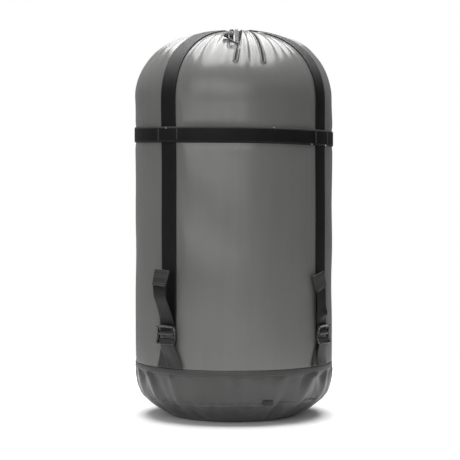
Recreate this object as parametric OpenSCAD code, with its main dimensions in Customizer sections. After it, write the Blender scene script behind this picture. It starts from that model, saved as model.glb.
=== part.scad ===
/* [Body] */
// Outside diameter of the filled cloth body
body_d = 324; // [318:1:330]
// Height at which the body cloth is sewn to the base band
body_seam_z = 90; // [84:1:96]
// Height at which the straight body turns into the dome
dome_spring_z = 507; // [500:1:514]
// Height of the dome above its spring line
dome_rise = 124; // [120:1:128]
// Exponent of the dome's outline, 2 is an ellipse
dome_power = 2.4; // [2.2:0.1:2.6]
// Thickness of the body cloth with its coating and linings
cloth_t = 1.6; // [1.2:0.1:2]

/* [Base] */
// Diameter of the flat part of the base that stands on the ground
foot_d = 196; // [188:1:204]
// Height of the seam between the base disc and the base band
disc_seam_z = 34; // [30:1:38]
// Diameter at the seam between the base disc and the base band
disc_seam_d = 304; // [298:1:308]
// Height of the topstitched fold below the body seam
fold_h = 10; // [7:1:13]
// Width of the blank tab sewn into the disc seam
tab_w = 17; // [12:1:22]

/* [Webbing] */
// Width of the vertical compression webbing
strap_w = 30; // [28:1:30]
// Width of the webbing that runs round the body
ring_w = 25; // [20:1:28]
// Thickness of all the webbing
webbing_t = 1.4; // [1.2:0.1:1.5]
// Height of the middle of the ring webbing
ring_z = 458; // [452:1:462]
// Lean of the ring webbing, lower on the +X side
ring_lean = 1.1; // [0:0.1:1.5]
// Direction of the front left strap, turned from the front
front_left_az = -39.5; // [-42:0.5:-36]
// Direction of the front right strap, turned from the front
front_right_az = 58.7; // [55:0.1:60]

/* [Ladder locks] */
// Height of the bar that the anchor webbing goes round
lock_z = 131; // [126:1:136]
// Distance of that bar from the body cloth
lock_stand_off = 4; // [4:0.1:5]
// Thickness of each side rail
rail_t = 3.7; // [3:0.1:4.5]
// Height of the webbing tails above the ladder locks
tail_h = 90; // [80:1:100]

/* [Mouth] */
// Diameter of the drawn-up mouth inside the hem channel
mouth_d = 30; // [29:0.5:31]
// Diameter of the drawcord
cord_d = 2.5; // [2:0.1:2.6]
// Diameter of the cord lock's barrel
barrel_d = 10.4; // [10:0.1:10.6]
// Travel of the cord lock's plunger
plunger_travel = 2.6; // [2:0.1:2.6]

/* [Hidden] */

$fn = 96;
body_r = body_d / 2;
foot_r = foot_d / 2;
seam_r = disc_seam_d / 2;
gap = 0.3;                      // clearance between cloth and webbing layers
split_z = 456;                  // hidden joint between lower and upper cloth, behind the ring webbing
crown_r = 40;                   // radius of the dome's rim round the mouth
rim_r = 18;                     // radius of the roll of cloth from the rim into the mouth
neck_r = crown_r - rim_r;       // radius of the cloth neck below the rim
seam_az = 189;                  // direction of the vertical seam at the back
seam_w = 12;                    // width of the felled vertical seam
seam_t = 0.8;                   // height of the felled seam above the cloth
tab_az = 20;                    // direction of the blank tab

// Corners in order: front left, front right, rear right, rear left
corner_az = [front_left_az, front_right_az, front_left_az + 180, front_right_az - 180];
anchor_front = [11.5, 2, 10, 10];      // sideways travel of each anchor's front leg at the seam
anchor_back = [-11.5, -15, -10, -10];  // and of its back leg
tail_lean = [17, 7, 12, 10];          // how far each tail stands out at its top
lock_raise = [3, 0, 1, 0];            // each ladder lock is drawn up by this much more

// ---- outline of the filled sack ----

function dome_z(r) = dome_spring_z + dome_rise * pow(1 - pow(r / body_r, dome_power), 1 / dome_power);
crown_z = dome_z(crown_r);
rim_z = crown_z - rim_r;

bowl_power = 1.4;               // how steeply the base disc turns up to its seam
band_power = 3.5;               // how soon the base band turns straight above that seam
base_steps = 8;
dome_steps = 14;

disc_profile = [
    for (i = [0:base_steps]) let (t = i / base_steps)
        [foot_r + (seam_r - foot_r) * t, disc_seam_z * pow(t, bowl_power)]
];
band_profile = [
    for (i = [0:base_steps]) let (t = i / base_steps)
        [
            body_r - (body_r - seam_r) * pow(1 - t, band_power),
            disc_seam_z + gap + (body_seam_z - disc_seam_z - gap) * t
        ]
];
dome_angles = [for (i = [1:dome_steps]) 90 * i / dome_steps];
dome_profile = [
    for (a = dome_angles) let (r = body_r * pow(cos(a), 2 / dome_power)) if (r > crown_r + 4)
        [r, dome_spring_z + dome_rise * pow(sin(a), 2 / dome_power)]
];
rim_profile = [for (a = [90:15:180]) [crown_r + rim_r * cos(a), rim_z + rim_r * sin(a)]];

// Normal of a profile at point i, to the right of the way it runs
function run(p, i) = let (v = p[min(i + 1, len(p) - 1)] - p[max(i - 1, 0)]) v / norm(v);
function shifted(p, d) = [for (i = [0:len(p) - 1]) let (v = run(p, i)) p[i] + d * [v[1], -v[0]]];
function reversed(p) = [for (i = [len(p) - 1:-1:0]) p[i]];

// Turns a shape that stands at the front to direction az
module facing(az) rotate([0, 0, az]) children();

// Vertical slab of width w that keeps one side of the axis
slab_h = 700;
module half_slab(w) translate([-w / 2, -body_d, -1]) cube([w, body_d, slab_h]);

// Extrudes an outline drawn as [distance outwards, height] across the webbing
module across(w) rotate([90, 0, -90]) linear_extrude(w, center = true) children();

// ---- cloth ----

module base_disc() color("#4c4c4b") {
    rotate_extrude() polygon(concat(
        [[0, 0]], disc_profile,
        reversed([
            for (p = disc_profile) [p[0] - 0.8 * cloth_t, min(p[1] + 0.8 * cloth_t, disc_seam_z)]
        ]),
        [[0, cloth_t]]
    ));
}

module base_band() color("#585857") rotate_extrude() polygon(concat(
    band_profile,
    reversed([for (p = band_profile) [p[0] - cloth_t, p[1]]])
));

fold_t = 0.8;                   // thickness of the topstitched fold
fold_gap = 0.1;                 // how far it stands off the band
module base_seam_fold() color("#4e4e4d") translate([0, 0, body_seam_z - fold_h]) difference() {
    cylinder(h = fold_h, r = body_r + fold_gap + fold_t);
    translate([0, 0, -1]) cylinder(h = fold_h + 2, r = body_r + fold_gap);
}

tab_t = 1.2;                    // thickness of the folded tab
tab_h = 8;                      // height of the tab
tab_off = 5.2;                  // clearance of the flat tab from the round seam behind it
module seam_tab() color("#2c2c2c") facing(tab_az)
    translate([-tab_w / 2, -seam_r - tab_off - tab_t, disc_seam_z - 1]) cube([tab_w, tab_t, tab_h]);

panel_z = body_seam_z + 0.2;    // lower edge of the body cloth
module lower_body_panel() color("#6e6e6c") translate([0, 0, panel_z]) difference() {
    cylinder(h = split_z - panel_z, r = body_r);
    translate([0, 0, -1]) cylinder(h = split_z, r = body_r - cloth_t);
}

neck_drop = 3.6;                // how far the cloth runs down into the mouth
module upper_body_panel() color("#6e6e6c") {
    outline = concat(
        [[body_r, split_z + gap], [body_r, dome_spring_z]],
        dome_profile, rim_profile, [[neck_r, rim_z - neck_drop]]
    );
    rotate_extrude() polygon(concat(outline, reversed(shifted(outline, -cloth_t))));
}

seam_gap = 0.2;                 // how far the felled seam stands off the cloth
module side_seam(z0, z1) color("#646462") facing(seam_az) intersection() {
    translate([0, 0, z0]) difference() {
        cylinder(h = z1 - z0, r = body_r + seam_gap + seam_t);
        translate([0, 0, -1]) cylinder(h = z1 - z0 + 2, r = body_r + seam_gap);
    }
    half_slab(seam_w);
}

module lower_side_seam() side_seam(body_seam_z + 0.3, split_z);

module upper_side_seam() side_seam(split_z + gap, dome_spring_z);

// Hem folded round the drawcord, drawn up to a small ring inside the neck
channel_h = 10;
channel_z = rim_z - 4 - channel_h;
cord_ring_r = mouth_d / 2 + 4;
exit_az = [-17, -5];
exit_len = 8;
module hem_channel() color("#5f5f5d") translate([0, 0, channel_z]) difference() {
    cylinder(h = channel_h, r = neck_r + 1);
    translate([0, 0, -1]) cylinder(h = channel_h + 2, d = mouth_d);
    translate([0, 0, channel_h / 2]) rotate_extrude()
        translate([cord_ring_r, 0]) circle(r = cord_d / 2 + 0.3);
    for (az = exit_az) facing(az) translate([0, -cord_ring_r, channel_h / 2])
        rotate([-90, 0, 0]) cylinder(h = exit_len, r = cord_d / 2 + 0.4);
}

// ---- webbing ----

ring_in = body_r + gap + webbing_t + gap;
module ring_strap() color("#1b1b1b") translate([0, 0, ring_z]) rotate([0, ring_lean, 0]) difference() {
    cylinder(h = ring_w, r = ring_in + webbing_t, center = true);
    cylinder(h = ring_w + 2, r = ring_in, center = true);
}

// Thread bars that hold the ring webbing down on both sides of each strap
bartack_off = 19;               // distance of each bar from the middle of the strap
bartack = [2, 0.6, 16];
module ring_bartacks() color("#2a2a2a") translate([0, 0, ring_z]) rotate([0, ring_lean, 0])
    for (az = corner_az, side = [-1, 1]) facing(az + side * asin(bartack_off / ring_in))
        translate([-bartack[0] / 2, -ring_in - webbing_t - bartack[1] - 0.1, -bartack[2] / 2])
            cube(bartack);

// Strap that crosses the crown, lifted by its own height over the other one
over_mouth = 1.4;               // arch of the straps over the open mouth
lift_r = 70;                    // radius where the upper strap starts to climb over the other
function lift(r, h) = h * pow(1 - min(r / lift_r, 1), 0.6)
    + (r < crown_r ? over_mouth * (1 - pow(r / crown_r, 2)) : 0);
strap_line = concat(
    [[body_r, split_z + gap], [body_r, dome_spring_z]], dome_profile,
    [for (r = [crown_r:-crown_r / 4:0]) [r, crown_z]]
);
module crossing_strap(az, h) facing(az) intersection() {
    low = [for (p = shifted(strap_line, gap)) [max(p[0], 0), p[1] + lift(p[0], h)]];
    high = [for (p = shifted(strap_line, gap + webbing_t)) [max(p[0], 0), p[1] + lift(p[0], h)]];
    rotate_extrude() polygon(concat(low, reversed(high)));
    translate([-strap_w / 2, -body_d, 0]) cube([strap_w, 2 * body_d, slab_h]);
}

module crossing_strap_under() color("#1b1b1b") crossing_strap(front_left_az, 0);

module crossing_strap_over() color("#1b1b1b") crossing_strap(front_right_az, webbing_t + gap);

// Box stitch where the two straps cross
crown_top = crown_z + over_mouth + 2 * (gap + webbing_t);
box_side = 18;                  // side of the box stitch
stitch = [1.4, 0.5];            // width and height of its thread rows
module crown_bartack() color("#2a2a2a") facing(front_right_az) translate([0, 0, crown_top + 0.1])
    for (side = [-1, 1]) {
        translate([-box_side / 2, side * box_side / 2 - stitch[0] / 2, 0])
            cube([box_side, stitch[0], stitch[1]]);
        translate([side * box_side / 2 - stitch[0] / 2, 1 - box_side / 2, 0])
            cube([stitch[0], box_side - 2, stitch[1]]);
    }

turn_up = 9.4;                  // height above the anchor bar where a strap leaves the cloth
module lower_strap(i) color("#1b1b1b") facing(corner_az[i]) intersection() {
    turn_z = lock_z + lock_raise[i] + turn_up;
    translate([0, 0, turn_z]) difference() {
        cylinder(h = split_z - turn_z, r = body_r + gap + webbing_t);
        translate([0, 0, -1]) cylinder(h = split_z, r = body_r + gap);
    }
    half_slab(strap_w);
}

// ---- ladder locks, in a frame with its zero on the anchor bar ----

bar_r = 2;
bar_fit = 0.06;                 // running clearance of the webbing loop on the bar
centre_bar = [0.4, 11];
centre_bar_r = 1.9;
lip = [3, 21.5];                // axis of the lip, which the tail swings round
lip_r = 1.6;
lip_rise = 0.8;
rail_x = strap_w / 2 + 0.9 + rail_t / 2;
cloth_u = -lock_stand_off;      // the body cloth, seen from the anchor bar

module at_lock(i) facing(corner_az[i])
    translate([0, -body_r - lock_stand_off, lock_z + lock_raise[i]]) children();

module bar(p, r, w) translate([0, -p[0], p[1]]) rotate([0, 90, 0]) cylinder(h = w, r = r, center = true);

// Half widths of a side rail at the anchor bar, the centre bar and the lip
rail_half = [2.4, 2.8, 2.2];
rail_at = [[0, 0], centre_bar, lip];
module rail_outline() {
    for (k = [0:2]) translate(rail_at[k]) circle(r = rail_half[k]);
    polygon(concat(
        [for (k = [0:2]) rail_at[k] + [rail_half[k], 0]],
        [for (k = [2:-1:0]) rail_at[k] - [rail_half[k], 0]]
    ));
}

module lip_bar() {
    span = 2 * rail_x - rail_t + 1;
    bow_r = (pow(span / 2, 2) + pow(2 * lip_rise, 2)) / (4 * lip_rise);
    half = asin(span / 2 / bow_r);
    translate([0, -lip[0], lip[1] + lip_rise - bow_r]) rotate([90, 0, 0]) rotate([0, 0, 90 - half])
        rotate_extrude(angle = 2 * half) translate([bow_r, 0]) circle(r = lip_r);
}

module ladder_lock(i) color("#151515") at_lock(i) {
    bar([0, 0], bar_r, 2 * rail_x);
    bar(centre_bar, centre_bar_r, 2 * rail_x);
    lip_bar();
    for (side = [-1, 1]) translate([side * rail_x, 0, 0]) across(rail_t) rail_outline();
}

// Anchor webbing: once round the bar, then two legs that spread to the body seam
leg_u = bar_r + bar_fit;
leg_end = 1;                    // height of the slice of webbing at each end of a leg
module leg(i, u_top, u_low, shift) {
    slice = [strap_w, webbing_t, leg_end];
    z_low = body_seam_z + 0.4 - lock_z - lock_raise[i];
    hull() {
        translate([-strap_w / 2, -u_top - webbing_t, -leg_end]) cube(slice);
        translate([shift - strap_w / 2, -u_low - webbing_t, z_low]) cube(slice);
    }
}

module anchor_loop(i) color("#222222") at_lock(i) {
    difference() {
        bar([0, 0], leg_u + webbing_t, strap_w);
        bar([0, 0], leg_u, strap_w + 2);
        translate([-strap_w, -20, -21]) cube([2 * strap_w, 40, 20.5]);
    }
    leg(i, leg_u, cloth_u + 2 * gap + webbing_t, anchor_front[i]);
    leg(i, -leg_u - webbing_t, cloth_u + gap, anchor_back[i]);
}

// The strap's turn round the centre bar: in from behind, over the bar, in again and up behind the lip
wrap_in = centre_bar_r + 0.1;
wrap_out = wrap_in + webbing_t;
tail_r = 3.4;                   // middle of the tail's webbing, from the lip's axis
module strap_turn(i) color("#1b1b1b") at_lock(i) across(strap_w) {
    back_u = lip[0] - tail_r - webbing_t / 2;
    intersection() {
        translate(centre_bar) difference() {
            circle(r = wrap_out);
            circle(r = wrap_in);
        }
        translate([centre_bar[0], 0]) square([2 * wrap_out, 2 * centre_bar[1]]);
    }
    translate([cloth_u + gap, centre_bar[1] - wrap_out])
        square([centre_bar[0] - cloth_u - gap + 0.01, webbing_t]);
    translate([back_u, centre_bar[1] + wrap_in]) square([centre_bar[0] - back_u + 0.01, webbing_t]);
    translate([back_u, centre_bar[1] + wrap_in])
        square([webbing_t, lip[1] - centre_bar[1] - wrap_in - 0.8]);
}

// Loose end of the strap with its end folded over and sewn
fold_len = 17;
function ease(t) = (1 - cos(180 * min(max(t, 0), 1))) / 2;
lean_h = 62;                    // height over which a tail leans out
curl_h = 29;                    // height over which its end comes back
curl_share = 0.25;              // how much of the lean comes back
tail_steps = 10;
function tail_u(i, h) = lip[0] - tail_r
    + tail_lean[i] * (ease(h / lean_h) - curl_share * ease((h - lean_h) / curl_h));
module tail_band(i, h0, h1, from, to) {
    line = [
        for (k = [0:tail_steps]) let (h = h0 + (h1 - h0) * k / tail_steps) [tail_u(i, h), lip[1] + h]
    ];
    polygon(concat(shifted(line, from), reversed(shifted(line, to))));
}

module strap_tail(i) color("#202020") at_lock(i) across(strap_w) {
    tail_band(i, 0, tail_h, -webbing_t / 2, webbing_t / 2);
    tail_band(i, tail_h - fold_len, tail_h, webbing_t / 2 - 0.01, 1.5 * webbing_t);
}

// ---- drawcord ----

// Normals carried along a route so that the tube never twists
function tangents(p) = [
    for (i = [0:len(p) - 1]) let (v = p[min(i + 1, len(p) - 1)] - p[max(i - 1, 0)]) v / norm(v)
];
function flat_to(v, t) = let (w = v - (v * t) * t) w / norm(w);
function normals(t, i = 0, last = [0.9, 0.1, 0.2]) =
    i == len(t) ? [] : let (n = flat_to(last, t[i])) concat([n], normals(t, i + 1, n));

module tube(p, r, sides = 8) {
    t = tangents(p);
    n = normals(t);
    m = len(p);
    points = [
        for (i = [0:m - 1], k = [0:sides - 1])
            p[i] + r * (cos(360 * k / sides) * n[i] + sin(360 * k / sides) * cross(t[i], n[i]))
    ];
    walls = [
        for (i = [0:m - 2], k = [0:sides - 1])
            let (a = i * sides, b = a + sides, j = (k + 1) % sides) [a + k, b + k, b + j, a + j]
    ];
    ends = [[for (k = [0:sides - 1]) k], [for (k = [sides - 1:-1:0]) (m - 1) * sides + k]];
    polyhedron(points, concat(walls, ends), convexity = 8);
}

// Smooth curve through the route's points, with a ring at most every step millimetres
function blended(a, b, c, d, t) =
    0.5 * (2 * b + (c - a) * t + (2 * a - 5 * b + 4 * c - d) * t * t + (3 * b - a - 3 * c + d) * t * t * t);
function smooth(p, step) = concat([
    for (i = [0:len(p) - 2])
        let (n = ceil(norm(p[i + 1] - p[i]) / step))
            for (k = [0:n - 1])
                blended(p[max(i - 1, 0)], p[i], p[i + 1], p[min(i + 2, len(p) - 1)], k / n)
], [p[len(p) - 1]]);

lock_centre = [-8, -103, 617.8];
lock_tilt = 25;                          // slope of the lock
lock_run = [0, -cos(lock_tilt), -sin(lock_tilt)];   // the way the cord runs through the lock
lock_up = [0, -sin(lock_tilt), cos(lock_tilt)];
cord_side = 1.35;                        // half the spacing of the two cords in the lock
low_mid = lock_centre - cord_side * lock_up;
high_mid = lock_centre + cord_side * lock_up;

// From the hem channel over the rim, through the lock, round and back into the mouth
lower_route = concat(
    [
        [-5, -16.6, 602], [-4.4, -12.4, 602.4], [-4.2, -11.2, 606.5], [-4.2, -13.5, 612],
        [-4.2, -18.5, 617.5], [-4.2, -25.5, 624.8], [-4.2, -33, 629.4], [-4.8, -42, 630.8],
        [-5.6, -55, 629.3], [-6.8, -70, 626.5], [-7.6, -84, 623.4]
    ],
    [low_mid - 7 * lock_run, low_mid, low_mid + 7 * lock_run, low_mid + 14 * lock_run],
    [
        [-6.4, -119.6, 607.8], [-2.8, -121.4, 605.6], [0.9, -119.4, 605], [2.5, -114.5, 607.4],
        [2.8, -104, 613.3], [3, -90, 619.4], [3.2, -74, 624.7], [3.2, -58, 628.4], [2.8, -43, 630.8],
        [2, -33, 629.4], [1.4, -25.5, 624.8], [1.4, -17.5, 617.5], [1.4, -10, 611], [1.2, -6.5, 604],
        [1, -4.5, 597], [1, -3.6, 590.6]
    ]
);
upper_route = concat(
    [
        [-1.5, -17.3, 602], [-1.4, -13, 602.4], [-1.4, -11.2, 606.5], [-1.4, -13.5, 612],
        [-1.4, -18.5, 617.5], [-1.4, -25.5, 624.8], [-1.4, -33, 629.4], [-2, -42, 630.8],
        [-2.9, -55, 629.6], [-4.4, -70, 627.9], [-6.2, -84, 625.7]
    ],
    [high_mid - 7 * lock_run, high_mid, high_mid + 7 * lock_run, high_mid + 14 * lock_run],
    [
        [-6.6, -121.6, 610.2], [-2.6, -125, 606.6], [2.6, -123.6, 603.4], [5.2, -118, 605.2],
        [5.6, -106, 612.2], [5.8, -91, 619], [5.9, -75, 624.5], [5.9, -58, 628.4], [5.6, -43, 630.8],
        [4.8, -33, 629.4], [4.2, -25.5, 624.8], [4.2, -17.5, 617.5], [4.2, -10, 611], [4, -6.5, 604],
        [3.8, -4.5, 597], [3.8, -3.6, 590.6]
    ]
);
ring_step = 12;
cord_grey = "#8a8a88";

module drawcord_ring() color(cord_grey) translate([0, 0, channel_z + channel_h / 2])
    rotate_extrude() translate([cord_ring_r, 0]) circle(d = cord_d, $fn = 24);

module drawcord_end_lower() color(cord_grey) tube(smooth(lower_route, ring_step), cord_d / 2);

module drawcord_end_upper() color(cord_grey) tube(smooth(upper_route, ring_step), cord_d / 2);

// Spare cord folded into a hank and tucked inside the mouth
hank_w = 17.5;
hank_t = 13;
hank_len = 60;
hank_mid = [2.4, -4.6, 560.3];
module drawcord_hank() color(cord_grey) translate(hank_mid) rotate([90, 0, 0])
    linear_extrude(hank_t, center = true) {
        for (side = [-1, 1]) translate([0, side * (hank_len - hank_w) / 2]) circle(d = hank_w);
        square([hank_w, hank_len - hank_w], center = true);
    }

knot_r = 3;
module drawcord_knot() color(cord_grey)
    translate(hank_mid - [0, 0, hank_len / 2 + knot_r + 0.1]) sphere(r = knot_r, $fn = 32);

// ---- cord lock, with its barrel across the cord ----

barrel_x = [-12.8, -0.5];
bore_r = barrel_d / 2 - 1.35;
plunger_fit = 0.08;
button_h = 0.8;                 // how far the pressed button still stands out
end_wall = 1;
slot_w = cord_d + 0.3;
slot_h = cord_d + 2 * cord_side + 0.3;

// Moves a shape drawn along X, with Y along the cord, onto the lock
module on_lock() translate([0, lock_centre[1], lock_centre[2]]) rotate([lock_tilt, 0, 0]) children();

module x_cylinder(x0, x1, r) translate([x0, 0, 0]) rotate([0, 90, 0]) cylinder(h = x1 - x0, r = r);

module cord_slot(x0, x1) translate([x0, -barrel_d, -slot_h / 2]) cube([x1 - x0, 2 * barrel_d, slot_h]);

module cord_lock_barrel() color("#2b2b2b") on_lock() difference() {
    x_cylinder(barrel_x[0], barrel_x[1], barrel_d / 2);
    x_cylinder(barrel_x[0] - 1, barrel_x[1] - end_wall, bore_r);
    cord_slot(lock_centre[0] - slot_w / 2, lock_centre[0] + slot_w / 2);
}

plunger_end = lock_centre[0] + slot_w / 2 + 1.2;
module cord_lock_plunger() color("#1c1c1c") on_lock() difference() {
    x_cylinder(barrel_x[0] - plunger_travel - button_h, plunger_end, bore_r - plunger_fit);
    cord_slot(lock_centre[0] - slot_w / 2 - plunger_travel, lock_centre[0] + slot_w / 2);
}

spring_turns = 4;
spring_r = 2.6;
wire_r = 0.25;
turn_steps = 12;
module cord_lock_spring() color("silver") on_lock() {
    x0 = plunger_end + gap;
    x1 = barrel_x[1] - end_wall - gap;
    helix = [
        for (k = [0:spring_turns * turn_steps]) let (a = 360 * k / turn_steps)
            [x0 + (x1 - x0) * k / (spring_turns * turn_steps), spring_r * cos(a), spring_r * sin(a)]
    ];
    tube(helix, wire_r, 6);
}

base_disc();
base_band();
base_seam_fold();
seam_tab();
lower_body_panel();
lower_side_seam();
upper_body_panel();
upper_side_seam();
hem_channel();
ring_strap();
ring_bartacks();
crossing_strap_under();
crossing_strap_over();
crown_bartack();
lower_strap(0);  // lower_strap_front_left
lower_strap(1);  // lower_strap_front_right
lower_strap(2);  // lower_strap_rear_right
lower_strap(3);  // lower_strap_rear_left
anchor_loop(0);  // anchor_loop_front_left
anchor_loop(1);  // anchor_loop_front_right
anchor_loop(2);  // anchor_loop_rear_right
anchor_loop(3);  // anchor_loop_rear_left
ladder_lock(0);  // ladder_lock_front_left
ladder_lock(1);  // ladder_lock_front_right
ladder_lock(2);  // ladder_lock_rear_right
ladder_lock(3);  // ladder_lock_rear_left
strap_turn(0);  // strap_turn_front_left
strap_turn(1);  // strap_turn_front_right
strap_turn(2);  // strap_turn_rear_right
strap_turn(3);  // strap_turn_rear_left
strap_tail(0);  // strap_tail_front_left
strap_tail(1);  // strap_tail_front_right
strap_tail(2);  // strap_tail_rear_right
strap_tail(3);  // strap_tail_rear_left
drawcord_ring();
drawcord_end_lower();
drawcord_end_upper();
drawcord_hank();
drawcord_knot();
cord_lock_barrel();
cord_lock_plunger();
cord_lock_spring();
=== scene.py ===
"""Stuff sack: cloth, webbing, ladder locks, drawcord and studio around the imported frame."""

import math

import bmesh
import bpy
import numpy as np
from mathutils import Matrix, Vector


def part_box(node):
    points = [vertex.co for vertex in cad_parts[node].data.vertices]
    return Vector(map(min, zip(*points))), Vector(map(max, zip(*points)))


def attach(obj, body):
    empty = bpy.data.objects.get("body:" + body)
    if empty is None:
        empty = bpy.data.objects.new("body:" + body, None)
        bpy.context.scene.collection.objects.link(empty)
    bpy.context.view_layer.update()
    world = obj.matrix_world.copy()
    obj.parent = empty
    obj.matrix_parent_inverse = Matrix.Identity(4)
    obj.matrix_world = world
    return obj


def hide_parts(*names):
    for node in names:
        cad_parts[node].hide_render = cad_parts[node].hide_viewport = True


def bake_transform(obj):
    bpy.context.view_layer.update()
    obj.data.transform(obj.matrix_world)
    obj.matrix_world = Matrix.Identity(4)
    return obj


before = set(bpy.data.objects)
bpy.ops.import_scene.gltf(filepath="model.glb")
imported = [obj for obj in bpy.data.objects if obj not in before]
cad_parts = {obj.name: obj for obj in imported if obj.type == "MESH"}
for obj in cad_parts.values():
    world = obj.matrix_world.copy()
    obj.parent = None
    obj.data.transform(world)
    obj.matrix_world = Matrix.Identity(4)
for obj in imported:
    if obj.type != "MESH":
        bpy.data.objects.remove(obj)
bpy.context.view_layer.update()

# ---------------------------------------------------------------- sizes, in metres
MM = 0.001
UP = np.array([0.0, 0.0, 1.0])
BODY_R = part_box("lower_body_panel")[1].x
SEAM_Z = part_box("base_band")[1].z
CROWN_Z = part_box("upper_body_panel")[1].z
SPRING_Z = 0.507
DOME_RISE = 0.124
DOME_POWER = 2.4
CROWN_R = 0.040
RIM_R = 0.018
RIM_Z = CROWN_Z - RIM_R
NECK_R = CROWN_R - RIM_R
FOOT_R = 0.098
DISC_SEAM_R = 0.152
DISC_SEAM_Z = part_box("base_disc")[1].z
BAND_POWER = 3.5
BOWL_POWER = 1.4
CLOTH_T = 0.0009
RING_Z = 0.458
RING_LEAN = math.radians(1.1)
RING_W = 0.025
STRAP_W = 0.030
WEB_T = 0.0014
GAP = 0.0003
MOUTH_SAG = 0.0022
CORNERS = ["front_left", "front_right", "rear_right", "rear_left"]
CORNER_AZ = [-39.5, 58.7, 140.5, -121.3]
SIDE_SEAM_AZ = 189
LOCK_Z = [0.134, 0.131, 0.132, 0.131]
LOCK_R = BODY_R + 0.004
CORD_D = 0.0025


# ---------------------------------------------------------------- small helpers
def ease(t):
    t = np.clip(t, 0.0, 1.0)
    return t * t * (3 - 2 * t)


def bell(x):
    return np.exp(-(x**2))


def wrap(deg):
    return (np.asarray(deg) + 180.0) % 360.0 - 180.0


def around(az, r, z):
    """Points at direction az in degrees, turned from the front, at radius r and height z."""
    a = np.radians(az)
    return np.stack(np.broadcast_arrays(r * np.sin(a), -r * np.cos(a), z), -1)


def outward(az):
    return around(az, 1.0, 0.0)


def across(az):
    return outward(az + 90)


def unit(vectors):
    return vectors / np.linalg.norm(vectors, axis=-1, keepdims=True)


def lengths(points):
    """Distance along a line of points, at each of them."""
    return np.concatenate([[0], np.cumsum(np.linalg.norm(np.diff(points, axis=0), axis=1))])


def whole_turn(az):
    """Angles in radians of a closed ring of directions, with its first one again at the end."""
    return np.radians(np.append(az, az[0] + 360))


def circle(count):
    return np.linspace(0, 2 * np.pi, count, endpoint=False)


def profiled(points):
    """Rows of a turned outline: its points, the distance along it and its outward normals."""
    p = np.array(points)
    t = unit(np.gradient(p, axis=0))
    return p, lengths(p), np.stack([t[:, 1], -t[:, 0]], 1)


def placed_object(name, mesh):
    obj = bpy.data.objects.new(name, mesh)
    bpy.context.scene.collection.objects.link(obj)
    return obj


def make(name, points, faces, uv=None, materials=(), smooth=True, marks=None):
    """A mesh object. uv is one (u, v) in metres per face corner; marks is a material number per face."""
    mesh = bpy.data.meshes.new(name)
    mesh.from_pydata(np.asarray(points, float).tolist(), [], [list(map(int, f)) for f in faces])
    if uv is not None:
        layer = mesh.uv_layers.new(name="cloth")
        layer.data.foreach_set("uv", np.asarray(uv, np.float32).ravel())
    for m in materials:
        mesh.materials.append(m)
    if marks is not None:
        mesh.polygons.foreach_set("material_index", np.asarray(marks, np.int32))
    mesh.polygons.foreach_set("use_smooth", np.full(len(mesh.polygons), smooth))
    mesh.update()
    return placed_object(name, mesh)


def quads(m, n, wrap_n=False, wrap_m=False, flip=False):
    """Quads of an m by n grid: their vertex numbers, and the row and column of each corner unwrapped."""
    i, j = np.meshgrid(np.arange(m if wrap_m else m - 1), np.arange(n if wrap_n else n - 1), indexing="ij")
    i, j = i.ravel(), j.ravel()
    rows = np.stack([i, i, i + 1, i + 1], 1)
    cols = np.stack([j, j + 1, j + 1, j], 1)
    if flip:
        rows, cols = rows[:, ::-1], cols[:, ::-1]
    return (rows % m) * n + cols % n, rows, cols


def grid_piece(name, points, u, v, materials, wrap_n=False, wrap_m=False, flip=False, caps=False, marks=None):
    """A piece from an (m, n, 3) grid with metre coordinates u per column and v per row."""
    m, n = points.shape[:2]
    faces, rows, cols = quads(m, n, wrap_n, wrap_m, flip)
    uv = np.stack([u[cols.ravel()], v[rows.ravel()]], 1)
    faces = faces.tolist()
    if caps:
        first, last = list(range(n)), [(m - 1) * n + k for k in range(n)]
        faces += [first if flip else first[::-1], last[::-1] if flip else last]
        uv = np.concatenate([uv, np.zeros((2 * n, 2))])
    return make(name, points.reshape(-1, 3), faces, uv, materials, marks=marks)


def joined(name, objs):
    """Several mesh objects as one, with their materials kept."""
    bm, mesh = bmesh.new(), bpy.data.meshes.new(name)
    slots = list(dict.fromkeys(m for o in objs for m in o.data.materials))
    for o in objs:
        part = o.data.copy()
        lookup = [slots.index(m) for m in part.materials]
        for p in part.polygons:
            p.material_index = lookup[p.material_index]
        bm.from_mesh(part)
        bpy.data.meshes.remove(part)
        bpy.data.objects.remove(o)
    bm.to_mesh(mesh)
    bm.free()
    for m in slots:
        mesh.materials.append(m)
    return placed_object(name, mesh)


def fixed_normals(obj):
    bm = bmesh.new()
    bm.from_mesh(obj.data)
    bmesh.ops.recalc_face_normals(bm, faces=bm.faces)
    bm.to_mesh(obj.data)
    bm.free()


def applied(obj):
    """The mesh of an object with its modifiers applied."""
    depsgraph = bpy.context.evaluated_depsgraph_get()
    return bpy.data.meshes.new_from_object(
        obj.evaluated_get(depsgraph), preserve_all_data_layers=True, depsgraph=depsgraph)


def smoothed(points, step):
    """A Catmull-Rom curve through the points, with step points for each stretch."""
    p = np.asarray(points, float)
    out = []
    for i in range(len(p) - 1):
        a, b, c, d = p[max(i - 1, 0)], p[i], p[i + 1], p[min(i + 2, len(p) - 1)]
        for t in np.arange(step) / step:
            out.append(0.5 * (2 * b + (c - a) * t + (2 * a - 5 * b + 4 * c - d) * t * t
                              + (3 * b - a - 3 * c + d) * t**3))
    return np.array(out + [p[-1]])


def tube_grid(path, radius, sides):
    """Rings of a tube along the path, its normals carried along so that it never twists."""
    p = np.asarray(path, float)
    t = unit(np.gradient(p, axis=0))
    n = np.zeros_like(p)
    last = np.array([0.31, 0.17, 0.93])
    for i in range(len(p)):
        last = unit(last - last @ t[i] * t[i])
        n[i] = last
    a = circle(sides)[None, :, None]
    return p[:, None] + radius * (np.cos(a) * n[:, None] + np.sin(a) * np.cross(t, n)[:, None])


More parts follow.
